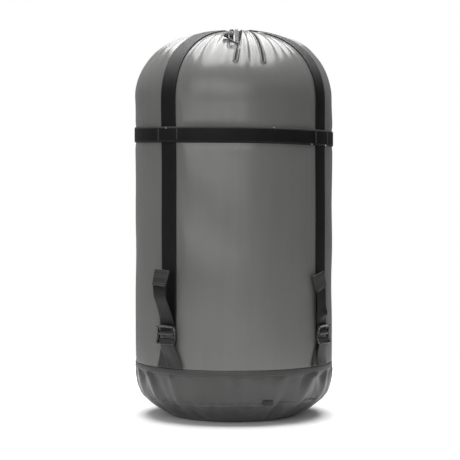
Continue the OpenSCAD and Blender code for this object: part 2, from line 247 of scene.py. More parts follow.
def tube(name, path, radius, sides, material):
    return grid_piece(name, tube_grid(path, radius, sides), np.arange(sides + 1) / sides, lengths(path),
                      [material], wrap_n=True, caps=True)


def tube_set(name, grids, material):
    """Many short closed tubes in one mesh."""
    points, faces, uv = [], [], []
    for g in grids:
        m, n = g.shape[:2]
        base = sum(len(p) for p in points)
        f, rows, cols = quads(m, n, wrap_n=True)
        step = np.linalg.norm(g[-1].mean(0) - g[0].mean(0)) / (m - 1)
        uv += [np.stack([cols.ravel() / n, rows.ravel() * step], 1), np.zeros((2 * n, 2))]
        faces += (f + base).tolist()
        faces += [[base + k for k in range(n)][::-1], [base + (m - 1) * n + k for k in range(n)]]
        points.append(g.reshape(-1, 3))
    return make(name, np.concatenate(points), faces, np.concatenate(uv), [material])


def stitch_run(place, count, shares, lifts, radius):
    """Raised stitches with sunk ends. place(t, lift) gives points at the shares t of the whole run. shares are
    where a stitch starts and where it is fully up, in its own length, and lifts are its heights there."""
    (s0, s1), (low, high) = shares, lifts
    at, lift = np.array([s0, s1, 1 - s1, 1 - s0]), np.array([low, high, high, low])
    return [tube_grid(place((k + at) / count, lift), radius, 6) for k in range(count)]


def stitches(line_of, count, length, radius, start=0.0, sweep=360.0):
    """Stitches round the axis; line_of(directions) gives their radius and height, length is in degrees."""
    grids = []
    raised = radius * np.array([-0.9, 0.55, 0.55, 0.55, -0.9])
    for k in range(count):
        az = start + sweep * (k + 0.5) / count + length * np.array([-0.5, -0.36, 0.0, 0.36, 0.5])
        r, z = line_of(az)
        grids.append(tube_grid(around(az, r + raised, z), radius, 6))
    return grids


def belongs(obj, slot, body, *nodes):
    """Hangs a piece on what it rides on and hides the CAD nodes it stands for; slot, what it is made of, is
    not used.
    """
    if body:
        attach(obj, body)
    if nodes:
        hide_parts(*nodes)


def across_compression(obj):
    """Cloth and webbing that join the still base to the top that is drawn down: bakes its transform into its
    mesh.
    """
    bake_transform(obj)


# ---------------------------------------------------------------- materials
class Wire:
    """An output in a node tree. Sums, products and so on of wires and numbers become Math nodes."""

    def __init__(self, nodes, socket):
        self.nodes, self.socket = nodes, socket

    def __rsub__(self, other):
        return self.nodes.math("SUBTRACT", other, self)

    def sine(self):
        return self.nodes.math("SINE", self)


for symbol, operation in (("add", "ADD"), ("sub", "SUBTRACT"), ("mul", "MULTIPLY"), ("truediv", "DIVIDE"),
                          ("mod", "MODULO"), ("pow", "POWER"), ("abs", "ABSOLUTE"), ("floor", "FLOOR")):
    setattr(Wire, f"__{symbol}__", lambda self, *other, kind=operation: self.nodes.math(kind, self, *other))


class Nodes:
    """A short way to write a node tree."""

    def __init__(self, tree):
        self.tree = tree
        tree.nodes.clear()

    def add(self, kind, **settings):
        n = self.tree.nodes.new(kind)
        for k, v in settings.items():
            setattr(n, k, v)
        return n

    def plug(self, sockets, *given):
        """Links or sets the sockets in turn from wires, outputs or plain values."""
        for socket, value in zip(sockets, given):
            value = getattr(value, "socket", value)
            if hasattr(value, "is_output"):
                self.tree.links.new(value, socket)
            else:
                socket.default_value = value

    def math(self, operation, a, b=0.0):
        n = self.add("ShaderNodeMath", operation=operation)
        self.plug(n.inputs, a, b, 0.0)
        return Wire(self, n.outputs[0])

    def ramp(self, t, low, high, a=0.0, b=1.0, kind="SMOOTHSTEP"):
        n = self.add("ShaderNodeMapRange", interpolation_type=kind)
        self.plug(n.inputs, t, low, high, a, b)
        return Wire(self, n.outputs[0])

    def split(self, vector):
        n = self.add("ShaderNodeSeparateXYZ")
        self.plug(n.inputs, vector)
        return [Wire(self, socket) for socket in n.outputs]

    def uv(self):
        return self.split(self.add("ShaderNodeAttribute", attribute_name="cloth").outputs["Vector"])[:2]

    def noise(self, scale, detail=4.0, stretch=(1, 1, 1), rough=0.55):
        m, n = self.add("ShaderNodeMapping"), self.add("ShaderNodeTexNoise")
        self.plug([m.inputs["Scale"], m.inputs[0]], stretch, self.add("ShaderNodeTexCoord").outputs["Object"])
        names = ("Vector", "Scale", "Detail", "Roughness")
        self.plug([n.inputs[k] for k in names], m.outputs[0], scale, detail, rough)
        return Wire(self, n.outputs[0])

    def colour(self, t, dark, light):
        n = self.add("ShaderNodeMix", data_type="RGBA")
        self.plug([n.inputs[0], n.inputs[6], n.inputs[7]], t, (*dark, 1), (*light, 1))
        return Wire(self, n.outputs[2])

    def bump(self, height, distance, under=None):
        n = self.add("ShaderNodeBump")
        self.plug([n.inputs[k] for k in ("Strength", "Distance", "Height")], 1.0, distance, height)
        if under:
            self.plug([n.inputs["Normal"]], under)
        return Wire(self, n.outputs[0])


class Material(Nodes):
    """The node tree of a new material with one principled shader."""

    def __init__(self, name):
        self.material = bpy.data.materials.new(name)
        self.material.use_nodes = True
        super().__init__(self.material.node_tree)
        self.out = self.add("ShaderNodeOutputMaterial")
        self.shader = self.add("ShaderNodeBsdfPrincipled")
        self.plug(self.out.inputs, self.shader.outputs[0])

    def finish(self, base, roughness, normal=None, **sockets):
        inputs = self.shader.inputs
        self.plug([inputs["Base Color"], inputs["Roughness"]], base, roughness)
        if normal:
            self.plug([inputs["Normal"]], normal)
        for k, v in sockets.items():
            inputs[k.replace("_", " ")].default_value = v
        return self.material


def grey(value, blue=None):
    return value, value, value if blue is None else blue


def cloth_material(name, dark, light, roughness, pitch, crinkle, level):
    """Plain woven coated cloth: a fine square weave, soft creases and a slow change of tone."""
    n = Material(name)
    u, v = n.uv()
    k = 2 * math.pi / pitch
    slub = n.noise(90, 3, (1, 1, 0.06))
    tone = n.noise(5, 3) * 0.55 + slub * 0.25 + (u * k).sine() * (v * k).sine() * 0.10
    normal = n.bump(n.noise(26, 2, rough=0.5), crinkle)
    return n.finish(n.colour(n.ramp(tone, 0.2, 0.6), dark, light), roughness, n.bump(slub, 0.00012, normal),
                    Specular_IOR_Level=level)


WARP_PITCH = 0.0017
WEFT_PITCH = 0.0021
# heights of the normal over which the painted sheen on upward faces comes in
PAINTED_SHEEN_RANGE = (0.04, 0.60)


def webbing_material(name, dark, light, roughness, level, painted_sheen_colour=None):
    """Nylon webbing: weft ribs across it, shifted half a rib from one warp column to the next."""
    n = Material(name)
    u, v = n.uv()
    column = u / WARP_PITCH
    odd = math.floor(column + 1000.0) % 2.0
    along = v / WEFT_PITCH + odd * 0.5
    weave = abs((along * math.pi).sine()) ** 0.6 * abs((column * math.pi).sine()) ** 0.4
    shade = n.ramp(weave * 0.65 + n.noise(40, 4) * 0.5, 0.25, 0.95)
    base = n.colour(shade, dark, light)
    if painted_sheen_colour:
        # painted sheen: the side that faces up is paler, standing in for the overhead light's sheen at grazing
        # angles
        facing_up = n.split(n.add("ShaderNodeNewGeometry").outputs["Normal"])[2]
        up = n.ramp(facing_up, *PAINTED_SHEEN_RANGE) * (shade * 0.5 + 0.5)
        share = light[0] / painted_sheen_colour[0]
        base = n.colour(up * (1 - share) + shade * share, dark, painted_sheen_colour)
    rough = (roughness + 0.08) - weave * 0.16
    normal = n.bump(n.noise(700, 2), 0.00006, n.bump(weave, 0.00022))
    return n.finish(base, rough, normal, Specular_IOR_Level=level)


def plastic_material(name, dark, light, roughness, level=0.5):
    """Moulded plastic: a faint grain, flow marks and duller worn patches."""
    n = Material(name)
    flow = n.noise(60, 3, (1, 1, 0.4))
    base = n.colour(n.ramp(flow, 0.35, 0.7), dark, light)
    rough = n.noise(140, 4) * 0.16 + (roughness - 0.08)
    normal = n.bump(flow, 0.00010, n.bump(n.noise(900, 2), 0.00002))
    return n.finish(base, rough, normal, Specular_IOR_Level=level)


def thread_material(name, dark, light):
    """Twisted sewing thread."""
    n = Material(name)
    u, v = n.uv()
    twist = (v * 7000.0 + u * 6.283).sine()
    base = n.colour(n.ramp(twist + n.noise(300, 2), -0.6, 1.4), dark, light)
    return n.finish(base, 0.5, n.bump(twist, 0.00005), Specular_IOR_Level=0.4, Sheen_Weight=0.2)


def cord_material(name, dark, light):
    """Braided cord: two sets of strands that cross, and a fleck in some of them."""
    n = Material(name)
    u, v = n.uv()
    around_it = u * (2 * math.pi * 6)
    along = v * (2 * math.pi / 0.0016)
    braid = n.math("MAXIMUM", (along + around_it).sine(), (along - around_it).sine())
    base = n.colour(n.ramp(braid * 0.5 + n.noise(350, 2) * 0.6, 0.0, 0.9), dark, light)
    return n.finish(base, 0.62, n.bump(braid, 0.00016), Specular_IOR_Level=0.35, Sheen_Weight=0.15)


def steel_material(name):
    """Drawn spring wire."""
    n = Material(name)
    drawn = n.noise(500, 3, (0.1, 1, 1))
    base = n.colour(drawn, grey(0.30), grey(0.62, 0.61))
    return n.finish(base, drawn * 0.2 + 0.2, n.bump(drawn, 0.00002), Metallic=1.0)


BODY = cloth_material("body_cloth", grey(0.098, 0.096), grey(0.119, 0.116), 0.29, 0.0009, 0.0005, 0.6)
BASE = cloth_material("base_cloth", grey(0.034, 0.033), grey(0.052, 0.051), 0.36, 0.0011, 0.0009, 0.42)
SEAM_FOLD = cloth_material("seam_fold_cloth", grey(0.029, 0.028), grey(0.043, 0.042), 0.38, 0.0011, 0.0005,
                           0.35)
TAB = cloth_material("tab_ribbon", grey(0.014), grey(0.024), 0.5, 0.0008, 0.0002, 0.3)
LINING = cloth_material("coated_inside", grey(0.16), grey(0.22), 0.55, 0.0009, 0.0006, 0.3)
# black webbing, with grey(0.060) as the painted sheen colour of its faces that look up
WEBBING = webbing_material("black_webbing", grey(0.0014, 0.0015), grey(0.0060, 0.0063), 0.52, 0.15,
                           grey(0.060))
TAIL_WEB = webbing_material("tail_webbing", grey(0.0020, 0.0021), grey(0.0085, 0.0088), 0.52, 0.20)
# the tail's own black webbing, made lighter for its folded end: painted highlight on the curled fold
FOLD_WEB_PAINTED_HIGHLIGHT = webbing_material("webbing_fold_painted_highlight", grey(0.010), grey(0.034), 0.45, 0.25)
# dark webbing made lighter for the anchors: painted light that they catch
ANCHOR_WEB_PAINTED_LIGHT = webbing_material("anchor_webbing_painted_light", grey(0.007), grey(0.021), 0.46, 0.35)
# the same black webbing, made lighter where it turns round the centre bar: painted sheen on the bend
TURN_WEB_PAINTED_SHEEN = webbing_material("webbing_at_lock_painted_sheen", grey(0.007), grey(0.024), 0.40, 0.6)
BUCKLE = plastic_material("buckle_plastic", grey(0.003), grey(0.007), 0.20, 0.75)
LOCK = plastic_material("lock_plastic", grey(0.050), grey(0.095), 0.42)
THREAD = thread_material("black_thread", grey(0.006), grey(0.03))
GREY_THREAD = thread_material("grey_thread", grey(0.030), grey(0.09))
# pale thread: its pale colour is a painted glint on the loose thread ends
PALE_THREAD_PAINTED_GLINT = thread_material("pale_thread_painted_glint", grey(0.35, 0.34), grey(0.6, 0.58))
CORD = cord_material("drawcord_braid", grey(0.022), grey(0.095, 0.094))
STEEL = steel_material("spring_steel")

# ---------------------------------------------------------------- camera
camera = placed_object("camera", bpy.data.cameras.new("camera"))
camera.data.lens = 127.25
camera.data.sensor_width = 36.0
camera.data.clip_end = 60
camera.location = (-0.0063, -2.69, 0.40)
camera.rotation_euler = (math.radians(90 - 2.034), 0, 0)
bpy.context.scene.camera = camera

# ---------------------------------------------------------------- drawcord, in millimetres up to its path
LOCK_CENTRE = np.array([-8.0, -103.0, 617.8])
LOCK_TILT = math.radians(25)
LOCK_RUN = np.array([0, -math.cos(LOCK_TILT), -math.sin(LOCK_TILT)])
LOCK_UP = np.array([0, -math.sin(LOCK_TILT), math.cos(LOCK_TILT)])
CORD_SIDE = 1.35
HANK_MID = np.array([2.4, -4.6, 560.3])
HANK_W, HANK_LEN, HANK_PITCH = 17.5, 60.0, 2.6
HANK_TURNS = 1.5
KNOT = HANK_MID - [0, 0, HANK_LEN / 2 + 3.1]
LOWER_IN = [
    (-5, -16.6, 602), (-4.4, -12.4, 602.4), (-4.2, -11.2, 606.5), (-4.2, -13.5, 612),
    (-4.2, -18.5, 617.5), (-4.2, -25.5, 624.8), (-4.2, -33, 629.4), (-4.8, -42, 630.8),
    (-5.6, -55, 629.3), (-6.8, -70, 626.5), (-7.6, -84, 623.4)]
LOWER_OUT = [
    (-6.4, -119.6, 607.8), (-2.8, -121.4, 605.6), (0.9, -119.4, 605), (2.5, -114.5, 607.4),
    (2.8, -104, 613.3), (3, -90, 619.4), (3.2, -74, 624.7), (3.2, -58, 628.4), (2.8, -43, 630.8),
    (2, -33, 629.4), (1.4, -25.5, 624.8), (1.4, -17.5, 617.5), (1.4, -10, 611), (1.2, -6.5, 604),
    (1, -4.5, 597), (1, -3.6, 590.6)]
UPPER_IN = [
    (-1.5, -17.3, 602), (-1.4, -13, 602.4), (-1.4, -11.2, 606.5), (-1.4, -13.5, 612),
    (-1.4, -18.5, 617.5), (-1.4, -25.5, 624.8), (-1.4, -33, 629.4), (-2, -42, 630.8),
    (-2.9, -55, 629.6), (-4.4, -70, 627.9), (-6.2, -84, 625.7)]
UPPER_OUT = [
    (-6.6, -121.6, 610.2), (-2.6, -125, 606.6), (2.6, -123.6, 603.4), (5.2, -118, 605.2),
    (5.6, -106, 612.2), (5.8, -91, 619), (5.9, -75, 624.5), (5.9, -58, 628.4), (5.6, -43, 630.8),
    (4.8, -33, 629.4), (4.2, -25.5, 624.8), (4.2, -17.5, 617.5), (4.2, -10, 611), (4, -6.5, 604),
    (3.8, -4.5, 597), (3.8, -3.6, 590.6)]


def hank_turns(side):
    """One and a half turns of a long loop, down one side, round and up, and down to the knot."""
    r = (HANK_W - CORD_D / MM) / 2
    half = (HANK_LEN - HANK_W) / 2
    x, y, z = HANK_MID
    loop = [(-side * r, s) for s in np.linspace(half, -half, 6)]
    for way in (-1, 1):
        bow = np.linspace(0, math.pi, 9)[1:-1]
        loop += [(way * side * r * math.cos(a), way * (half + r * math.sin(a))) for a in bow]
        loop += [(-way * side * r, s) for s in np.linspace(way * half, -way * half + (4 if way > 0 else 0), 6)]
    first = -side * HANK_PITCH / 2
    slope = -side * HANK_PITCH * HANK_TURNS
    turns = [(x + p, y + first + slope * k / (len(loop) - 1), z + q) for k, (p, q) in enumerate(loop)]
    end = x - side * 4.6, y + first + slope, z - half - 5.2
    return [*turns, end, (x - side * 1.3, KNOT[1] + side * 0.4, KNOT[2] + 2.2)]


def cord_path(first, up, last, side):
    """One cord end: in to the cord lock, through it, out, back to the mouth and down into the hank."""
    through = [LOCK_CENTRE + up * LOCK_UP + k * LOCK_RUN for k in (-7, 0, 7, 14)]
    return smoothed([*first, *through, *last, *hank_turns(side)], 5) * MM


ROUTES = {
    "drawcord_lower": cord_path(LOWER_IN, -CORD_SIDE, LOWER_OUT, 1),
    "drawcord_upper": cord_path(UPPER_IN, CORD_SIDE, UPPER_OUT, -1)}
cords = {k: tube(k, p, CORD_D / 2, 12, CORD) for k, p in ROUTES.items()}


def knot_piece():
    """An overhand knot drawn tight: a short trefoil tube that holds both ends."""
    t = circle(72)
    p = np.stack([np.sin(t) + 1.25 * np.sin(2 * t), np.cos(t) - 1.25 * np.cos(2 * t), -np.sin(3 * t)], 1)
    g = tube_grid(p * 0.00062 + KNOT * MM, 0.00115, 12)
    return grid_piece("drawcord_knot_tied", g, np.arange(13) / 12, np.linspace(0, 0.015, 73), [CORD],
                      wrap_n=True, wrap_m=True)


knot = knot_piece()
belongs(cords["drawcord_lower"], "cord", "top", "drawcord_end_lower", "drawcord_hank")
belongs(cords["drawcord_upper"], "cord", "top", "drawcord_end_upper")
belongs(knot, "cord", "top", "drawcord_knot")


# ---------------------------------------------------------------- body cloth
def body_profile():
    """Rows of the cloth from the base seam over the dome and into the mouth: radius, height, arc, normal."""
    straight = np.concatenate([
        SEAM_Z + np.array([0.0002, 0.0005, 0.0010]), np.linspace(SEAM_Z + 0.0022, 0.428, 49),
        np.linspace(0.431, 0.487, 24), np.linspace(0.4895, SPRING_Z, 8)])
    pts = [(BODY_R, z) for z in straight]
    a = np.linspace(0, math.pi / 2, 900)[1:]
    power = 2 / DOME_POWER
    dome = np.stack([BODY_R * np.cos(a) ** power, SPRING_Z + DOME_RISE * np.sin(a) ** power], 1)
    dome = dome[dome[:, 0] > CROWN_R + 0.0015]
    long = lengths(dome)
    at = np.linspace(0, long[-1], 150)[1:]
    pts += list(zip(np.interp(at, long, dome[:, 0]), np.interp(at, long, dome[:, 1])))
    for b in np.radians(np.linspace(90, 180, 22)):
        pts.append((CROWN_R + RIM_R * math.cos(b), RIM_Z + RIM_R * math.sin(b)))
    pts += [(NECK_R, RIM_Z - d) for d in (0.0012, 0.0024, 0.0036)]
    return profiled(pts)


def body_columns():
    """Directions of the columns, closer together at the front where the deepest folds are."""
    a = np.linspace(-180, 180, 7201)
    dense = 1 + 1.9 * ease((a + 46) / 12) * ease((52 - a) / 12) + ease((a + 90) / 8) * ease((-40 - a) / 8)
    total = np.concatenate([[0], np.cumsum((dense[1:] + dense[:-1]) / 2)])
    return np.interp(np.linspace(0, total[-1], 761)[:-1], total, a)


PROFILE, ARC, NORMAL = body_profile()
AZ = body_columns()
STRAIGHT_ROWS = 84
SPRING_ARC = float(np.interp(SPRING_Z, PROFILE[:90, 1], ARC[:90]))
RIM_ROW = int(np.argmax(PROFILE[:, 1]))


def arc_of(r):
    """Arc length of the dome point at radius r."""
    rows = slice(STRAIGHT_ROWS, RIM_ROW)
    return float(np.interp(-r, -PROFILE[rows, 0], ARC[rows]))


def strap_distance(az, r):
    """Distance across from the middle of the nearest vertical strap."""
    best = np.full(np.broadcast(az, r).shape, 1.0)
    for c in CORNER_AZ:
        d = wrap(az - c)
        best = np.minimum(best, np.where(np.abs(d) < 90, np.abs(r * np.sin(np.radians(d))), 1.0))
    return best


def way_down(az, r, s, ends, limits):
    """For a fold between two (direction, radius) ends: the arc where it starts and ends, the share of the way
    at each row, the angle from its middle line, and the distance from it."""
    (a0, r0), (a1, r1) = ends
    s0, s1 = arc_of(r0), arc_of(r1)
    t = (s - s0) / (s1 - s0)
    aside = wrap(az - (a0 + (a1 - a0) * np.clip(t, *limits)))
    return s0, s1, t, np.abs(aside), r * np.sin(np.radians(aside))


def pocket(az, r, s, ends, widths, depth, ridge, spread):
    """A fold with a dark valley between two bright edges that close in a rounded tip. widths are halves."""
    s0, s1, t, aside, x = way_down(az, r, s, ends, (0, 1))
    t = np.clip(t, 0, 1)
    half = np.interp(t, np.linspace(0, 1, len(widths)), widths)
    d = np.sqrt(x**2 + np.maximum(s1 - s, 0) ** 2) - half
    valley = -depth * ease(-d / (half * 0.62)) * (0.45 + 0.55 * (1 - t))
    fade = ease(1 - np.maximum(s - s0, 0) / 0.03)
    return np.where(aside < 60, (valley + ridge * bell(d / spread)) * fade, 0.0)


def fold(az, r, s, ends, width, height):
    """One soft radial ridge that fades out towards its lower end."""
    _, _, t, aside, x = way_down(az, r, s, ends, (-0.2, 1.1))
    w = width * (0.7 + 0.5 * np.clip(t, 0, 1))
    shape = bell(x / w) - 0.55 * bell((np.abs(x) - 1.9 * w) / (0.9 * w))
    return np.where(aside < 80, height * shape, 0) * ease((1.0 - t) / 0.45) * ease((t + 0.35) / 0.3)


FRONT_FOLDS = [  # (direction, radius) at the top and the lower end, half width, height
    ((-26, 0.070), (-29, 0.147), 0.0050, 0.0013), ((-17, 0.062), (-20, 0.152), 0.0046, 0.0019),
    ((-10, 0.060), (-11.5, 0.143), 0.0050, 0.0012), ((-4.5, 0.110), (-4.2, 0.150), 0.0036, 0.0010),
    ((11, 0.070), (7.2, 0.156), 0.0040, 0.0022), ((15.5, 0.085), (12.8, 0.150), 0.0034, 0.0012),
    ((30, 0.060), (25.5, 0.151), 0.0048, 0.0013), ((36, 0.062), (33.5, 0.146), 0.0044, 0.0010),
    ((41, 0.058), (41, 0.150), 0.0046, 0.0013), ((-55, 0.060), (-52, 0.150), 0.0050, 0.0016),
    ((-64, 0.062), (-62, 0.147), 0.0050, 0.0013), ((-76, 0.070), (-75, 0.152), 0.0056, 0.0015)]
DEEP_FOLDS = [  # ends as above, half widths on the way down, depth, ridge, spread
    (((6.2, 0.076), (0.9, 0.1452)), (0.0052, 0.0036, 0.0019, 0.0023), 0.0150, 0.0022, 0.0017),
    (((21.5, 0.058), (17.9, 0.1462)), (0.0030, 0.0025, 0.0022, 0.0024), 0.0125, 0.0021, 0.0016)]
PLEATS = 27


def gathers(az, r, roll):
    """Tight pleats of the drawn-up mouth: rounded ridges with sharp valleys between."""
    rng = np.random.default_rng(41)
    widths = rng.uniform(0.62, 1.5, PLEATS)
    edges = np.concatenate([[0], np.cumsum(widths)]) / widths.sum() * 360 - 180
    high = rng.uniform(0.55, 1.25, PLEATS)
    reach = rng.uniform(0.058, 0.104, PLEATS)
    k = np.clip(np.searchsorted(edges, az, side="right") - 1, 0, PLEATS - 1)
    u = (az - edges[k]) / (edges[k + 1] - edges[k])
    grow = ease((reach[k] - r) / (reach[k] - 0.030))
    return 0.0038 * high[k] * (np.sin(np.pi * u) ** 0.75 - 0.62) * grow * (1 - 0.45 * roll)


def body_offset():
    """How far each point of the cloth stands out from the plain filled shape."""
    az, r, z, s = AZ[None, :], PROFILE[:, :1], PROFILE[:, 1:], ARC[:, None]
    rows = np.arange(len(PROFILE))[:, None]
    roll = ease((rows - RIM_ROW) / (len(PROFILE) - RIM_ROW))
    top = ease((s - SPRING_ARC) / 0.03)
    away = strap_distance(az, r)
    free = np.maximum(ease((away - 0.0155) / 0.020), ease((roll - 0.25) / 0.3))
    d = np.zeros((len(PROFILE), len(AZ)))
    # slow fullness of the stuffed cloth
    rng = np.random.default_rng(5)
    a = np.radians(az)
    for _ in range(9):
        m, wave = rng.integers(2, 7), rng.uniform(0.10, 0.30)
        d += 0.00022 * np.sin(m * a + 2 * np.pi * z / wave + rng.uniform(0, 6.28))
    # quarters of the dome swell between the straps
    d += 0.0016 * top * ease((away - 0.016) / 0.05) * ease((r - 0.045) / 0.04)
    # pressed in by the ring webbing, with short puckers above and below it
    h = z - (RING_Z - r * np.sin(a) * math.tan(RING_LEAN))
    d -= 0.0016 * np.exp(-((h / 0.0165) ** 4))
    pucker = np.zeros_like(d)
    for _ in range(46):
        c, w = rng.uniform(-180, 180), rng.uniform(0.8, 2.2)
        up = rng.choice([-1, 1])
        long = rng.uniform(0.012, 0.035)
        pucker += up * rng.uniform(0.3, 1.0) * bell(wrap(az - c) / w) * bell((np.abs(h) - 0.013) / long)
    d += 0.00042 * pucker * (1 - top)
    # folds of the dome: the pleats, the placed ones at the front and random ones round the rest
    d += free * gathers(az, r, roll)
    dome = free * ease((s - SPRING_ARC) / 0.02)
    for top_end, low_end, width, height in FRONT_FOLDS:
        d += dome * fold(az, r, s, (top_end, low_end), width, height)
    for k in range(30):
        c = 62 + (360 - 62 - 84) * (k + rng.uniform(-0.35, 0.35)) / 29
        ends = (c + rng.uniform(-5, 5), 0.062), (c, rng.uniform(0.128, 0.155))
        d += dome * fold(az, r, s, ends, rng.uniform(0.0032, 0.0058), rng.uniform(0.0008, 0.0022))
    # creases beside the straps
    beside = bell((away - 0.0185) / 0.0022) - 0.9 * bell((away - 0.0245) / 0.0035)
    d -= 0.0010 * beside * ease((s - SPRING_ARC - 0.035) / 0.03) * ease((r - 0.062) / 0.02)
    # the two deep folds at the front
    for deep_fold in DEEP_FOLDS:
        d += ease((r - 0.030) / 0.02) * (rows <= RIM_ROW) * pocket(az, r, s, *deep_fold)
    # the cords lie on the cloth here, and the straps press it flat
    beside_cords = ease((0.0125 - np.abs(r * np.sin(a) + 0.0010)) / 0.004) * (np.cos(a) > 0)
    cord_zone = beside_cords * ease((0.131 - r) / 0.006)
    laid = np.minimum(d, d * (1 - cord_zone) + 0.0001 * cord_zone)
    d = np.where((cord_zone > 0) & (rows <= RIM_ROW + 6), laid, d)
    pressed = (1 - free) * (rows <= RIM_ROW + 8)
    return d * (1 - pressed) - 0.0004 * pressed


def surface(outline, offset, az):
    profile, _, normal = outline
    return around(az, *(profile[:, [k]] + offset * normal[:, [k]] for k in (0, 1)))


def shell(name, outline, offset, outside, az, radius=BODY_R):
    """A closed band of cloth: its outer face, its lined inner face and both edges."""
    outer, inner = surface(outline, offset, az), surface(outline, offset - CLOTH_T, az)
    arc = outline[1]
    m, n = outer.shape[:2]
    v = np.concatenate([arc, arc[::-1] + 0.003, arc[:1]])
    row = np.arange(2 * m)
    marks = np.repeat((row >= m - 1) & (row < 2 * m - 1), n)
    points = np.concatenate([outer, inner[::-1]])
    return grid_piece(name, points, whole_turn(az) * radius, v, [outside, LINING], wrap_n=True, wrap_m=True,
                      marks=marks)


OFFSET = body_offset()
body = shell("body_cloth", (PROFILE, ARC, NORMAL), OFFSET, BODY, AZ)
belongs(body, "body_cloth", None, "lower_body_panel", "upper_body_panel")
across_compression(body)


# ---------------------------------------------------------------- base
def band_radius(share):
    """Radius of the base band at a share of its height."""
    return BODY_R - (BODY_R - DISC_SEAM_R) * (1 - share) ** BAND_POWER


def base_profile():
    """Rows from the middle of the disc out over the bowl and up the band to the body seam."""
    flat = [(r, 0.0) for r in np.linspace(0.004, FOOT_R, 30)]
    t = np.linspace(0, 1, 34)[1:]
    bowl = [(FOOT_R + (DISC_SEAM_R - FOOT_R) * k, DISC_SEAM_Z * k**BOWL_POWER) for k in t]
    t = np.linspace(0, 1, 56)[1:]
    band = [(band_radius(k), DISC_SEAM_Z + (SEAM_Z - DISC_SEAM_Z) * k) for k in t]
    return profiled(flat + bowl + band), len(flat) + len(bowl)


def random_crease(rng, low, lean, widths, heights):
    high, width = low + rng.uniform(-lean, lean), rng.uniform(*widths)
    return low, high, width, rng.choice([-1, 1]) * rng.uniform(*heights)


def base_folds(az, z):
    """Slanting satin creases of the band: (direction low, direction high, half width in degrees, height)."""
    listed = [
        (-50, -59, 3.2, 0.0030), (-33.5, -39, 2.6, 0.0024), (-20, -23, 3.4, 0.0012), (-8, -5, 3.6, 0.0010),
        (7, 3, 3.2, -0.0009), (23, 27, 3.0, 0.0014), (30.5, 35, 2.6, -0.0010), (41, 54, 4.6, 0.0036),
        (62, 70, 3.0, 0.0022), (77, 80, 2.8, 0.0014), (-66, -72, 2.8, 0.0018), (-78, -82, 2.4, -0.0012)]
    rng = np.random.default_rng(19)
    for k in range(24):
        low = 84 + 190 * (k + rng.uniform(-0.3, 0.3)) / 23
        listed.append(random_crease(rng, low, 12, (2.0, 3.8), (0.0012, 0.003)))
    for _ in range(40):
        listed.append(random_crease(rng, rng.uniform(-180, 180), 9, (1.6, 3.2), (0.0002, 0.0006)))
    t = (z - DISC_SEAM_Z) / (SEAM_Z - DISC_SEAM_Z)
    fade = ease((1.02 - t) / 0.35) * ease((t + 0.75) / 0.55)
    d = np.zeros(np.broadcast(az, z).shape)
    for low, high, w, h in listed:
        x = wrap(az - (low + (high - low) * t)) / w
        d += h * (bell(x) - 0.4 * bell(np.abs(x) - 1.9)) * fade
    return d


BASE_AZ = np.linspace(-180, 180, 541)[:-1]
BASE_OUTLINE, BAND_ROW = base_profile()


def base_offset():
    """How far each point of the base cloth stands out from its plain shape."""
    profile, arc, _ = BASE_OUTLINE
    z, s = profile[:, 1:], arc[:, None]
    seam, end = arc[BAND_ROW - 1], arc[-1]
    d = base_folds(BASE_AZ[None, :], z)
    rng = np.random.default_rng(3)
    a = np.radians(BASE_AZ[None, :])
    for _ in range(8):
        d += 0.00025 * np.sin(rng.integers(3, 11) * a + s * rng.uniform(20, 90) + rng.uniform(0, 6.28))
    # puckers that the two seams draw into the cloth
    phase = 60 * a + 1.3 * np.sin(7 * a)
    d += 0.00045 * np.sin(phase) * bell((s - seam) / 0.010)
    d += 0.00030 * np.sin(1.7 * phase) * bell((s - end) / 0.012)
    d -= 0.0010 * bell((s - seam) / 0.0022)
    # flat on the ground and flat under the fold of the body seam
    d *= ease((z - 0.0004) / 0.012)
    return d * ease((end - s - 0.004) / 0.013) - 0.0006 * ease((s - (end - 0.0100)) / 0.0030)


def base_shell(name, rows, radius, lift=0.0):
    """Some of the base's rows as cloth, the first row raised by lift."""
    profile, arc, normal = (x[rows].copy() for x in BASE_OUTLINE)
    profile[0, 1] += lift
    return shell(name, (profile, arc, normal), BASE_OFFSET[rows], BASE, BASE_AZ, radius)


def disc_centre():
    """The middle of the disc, inside its innermost ring."""
    ring = around(BASE_AZ[::12], 0.0041, 0.0)
    n = len(ring)
    points = np.concatenate([np.zeros((1, 3)), ring, [CLOTH_T * UP], ring + CLOTH_T * UP])
    faces = []
    for k in range(n):
        q = (k + 1) % n
        faces += [(0, 1 + q, 1 + k), (n + 1, n + 2 + k, n + 2 + q), (1 + k, 1 + q, n + 2 + q, n + 2 + k)]
    uv = [points[i][:2] for f in faces for i in f]
    return make("disc_centre", points, faces, uv, [BASE])


BASE_OFFSET = base_offset()
disc = base_shell("base_bowl", slice(0, BAND_ROW), DISC_SEAM_R)
band = base_shell("base_band_cloth", slice(BAND_ROW - 1, None), BODY_R, 0.0003)
disc = joined("base_bowl", [disc, disc_centre()])


def ring_band(name, z_of, r_of, width, thick, material, az):
    """A closed band round the body with rounded edges; z_of and r_of give its middle line."""
    section = [
        (-0.5, -0.35), (-0.47, 0.2), (-0.38, 0.5), (-0.13, 0.53), (0.13, 0.53), (0.38, 0.5), (0.47, 0.2),
        (0.5, -0.35), (0.38, -0.5), (0.0, -0.5), (-0.38, -0.5)]
    points = np.stack([around(az, r_of(az) + thick * (0.5 + q), z_of(az) + width * p) for p, q in section], 1)
    u = np.array([p * width for p, _ in section + section[:1]])
    v = whole_turn(az) * BODY_R
    return grid_piece(name, points, u, v, [material], wrap_n=True, wrap_m=True, flip=True)


def fold_radius(az):
    return BODY_R - 0.0002 + 0.00012 * np.sin(np.radians(97 * az))


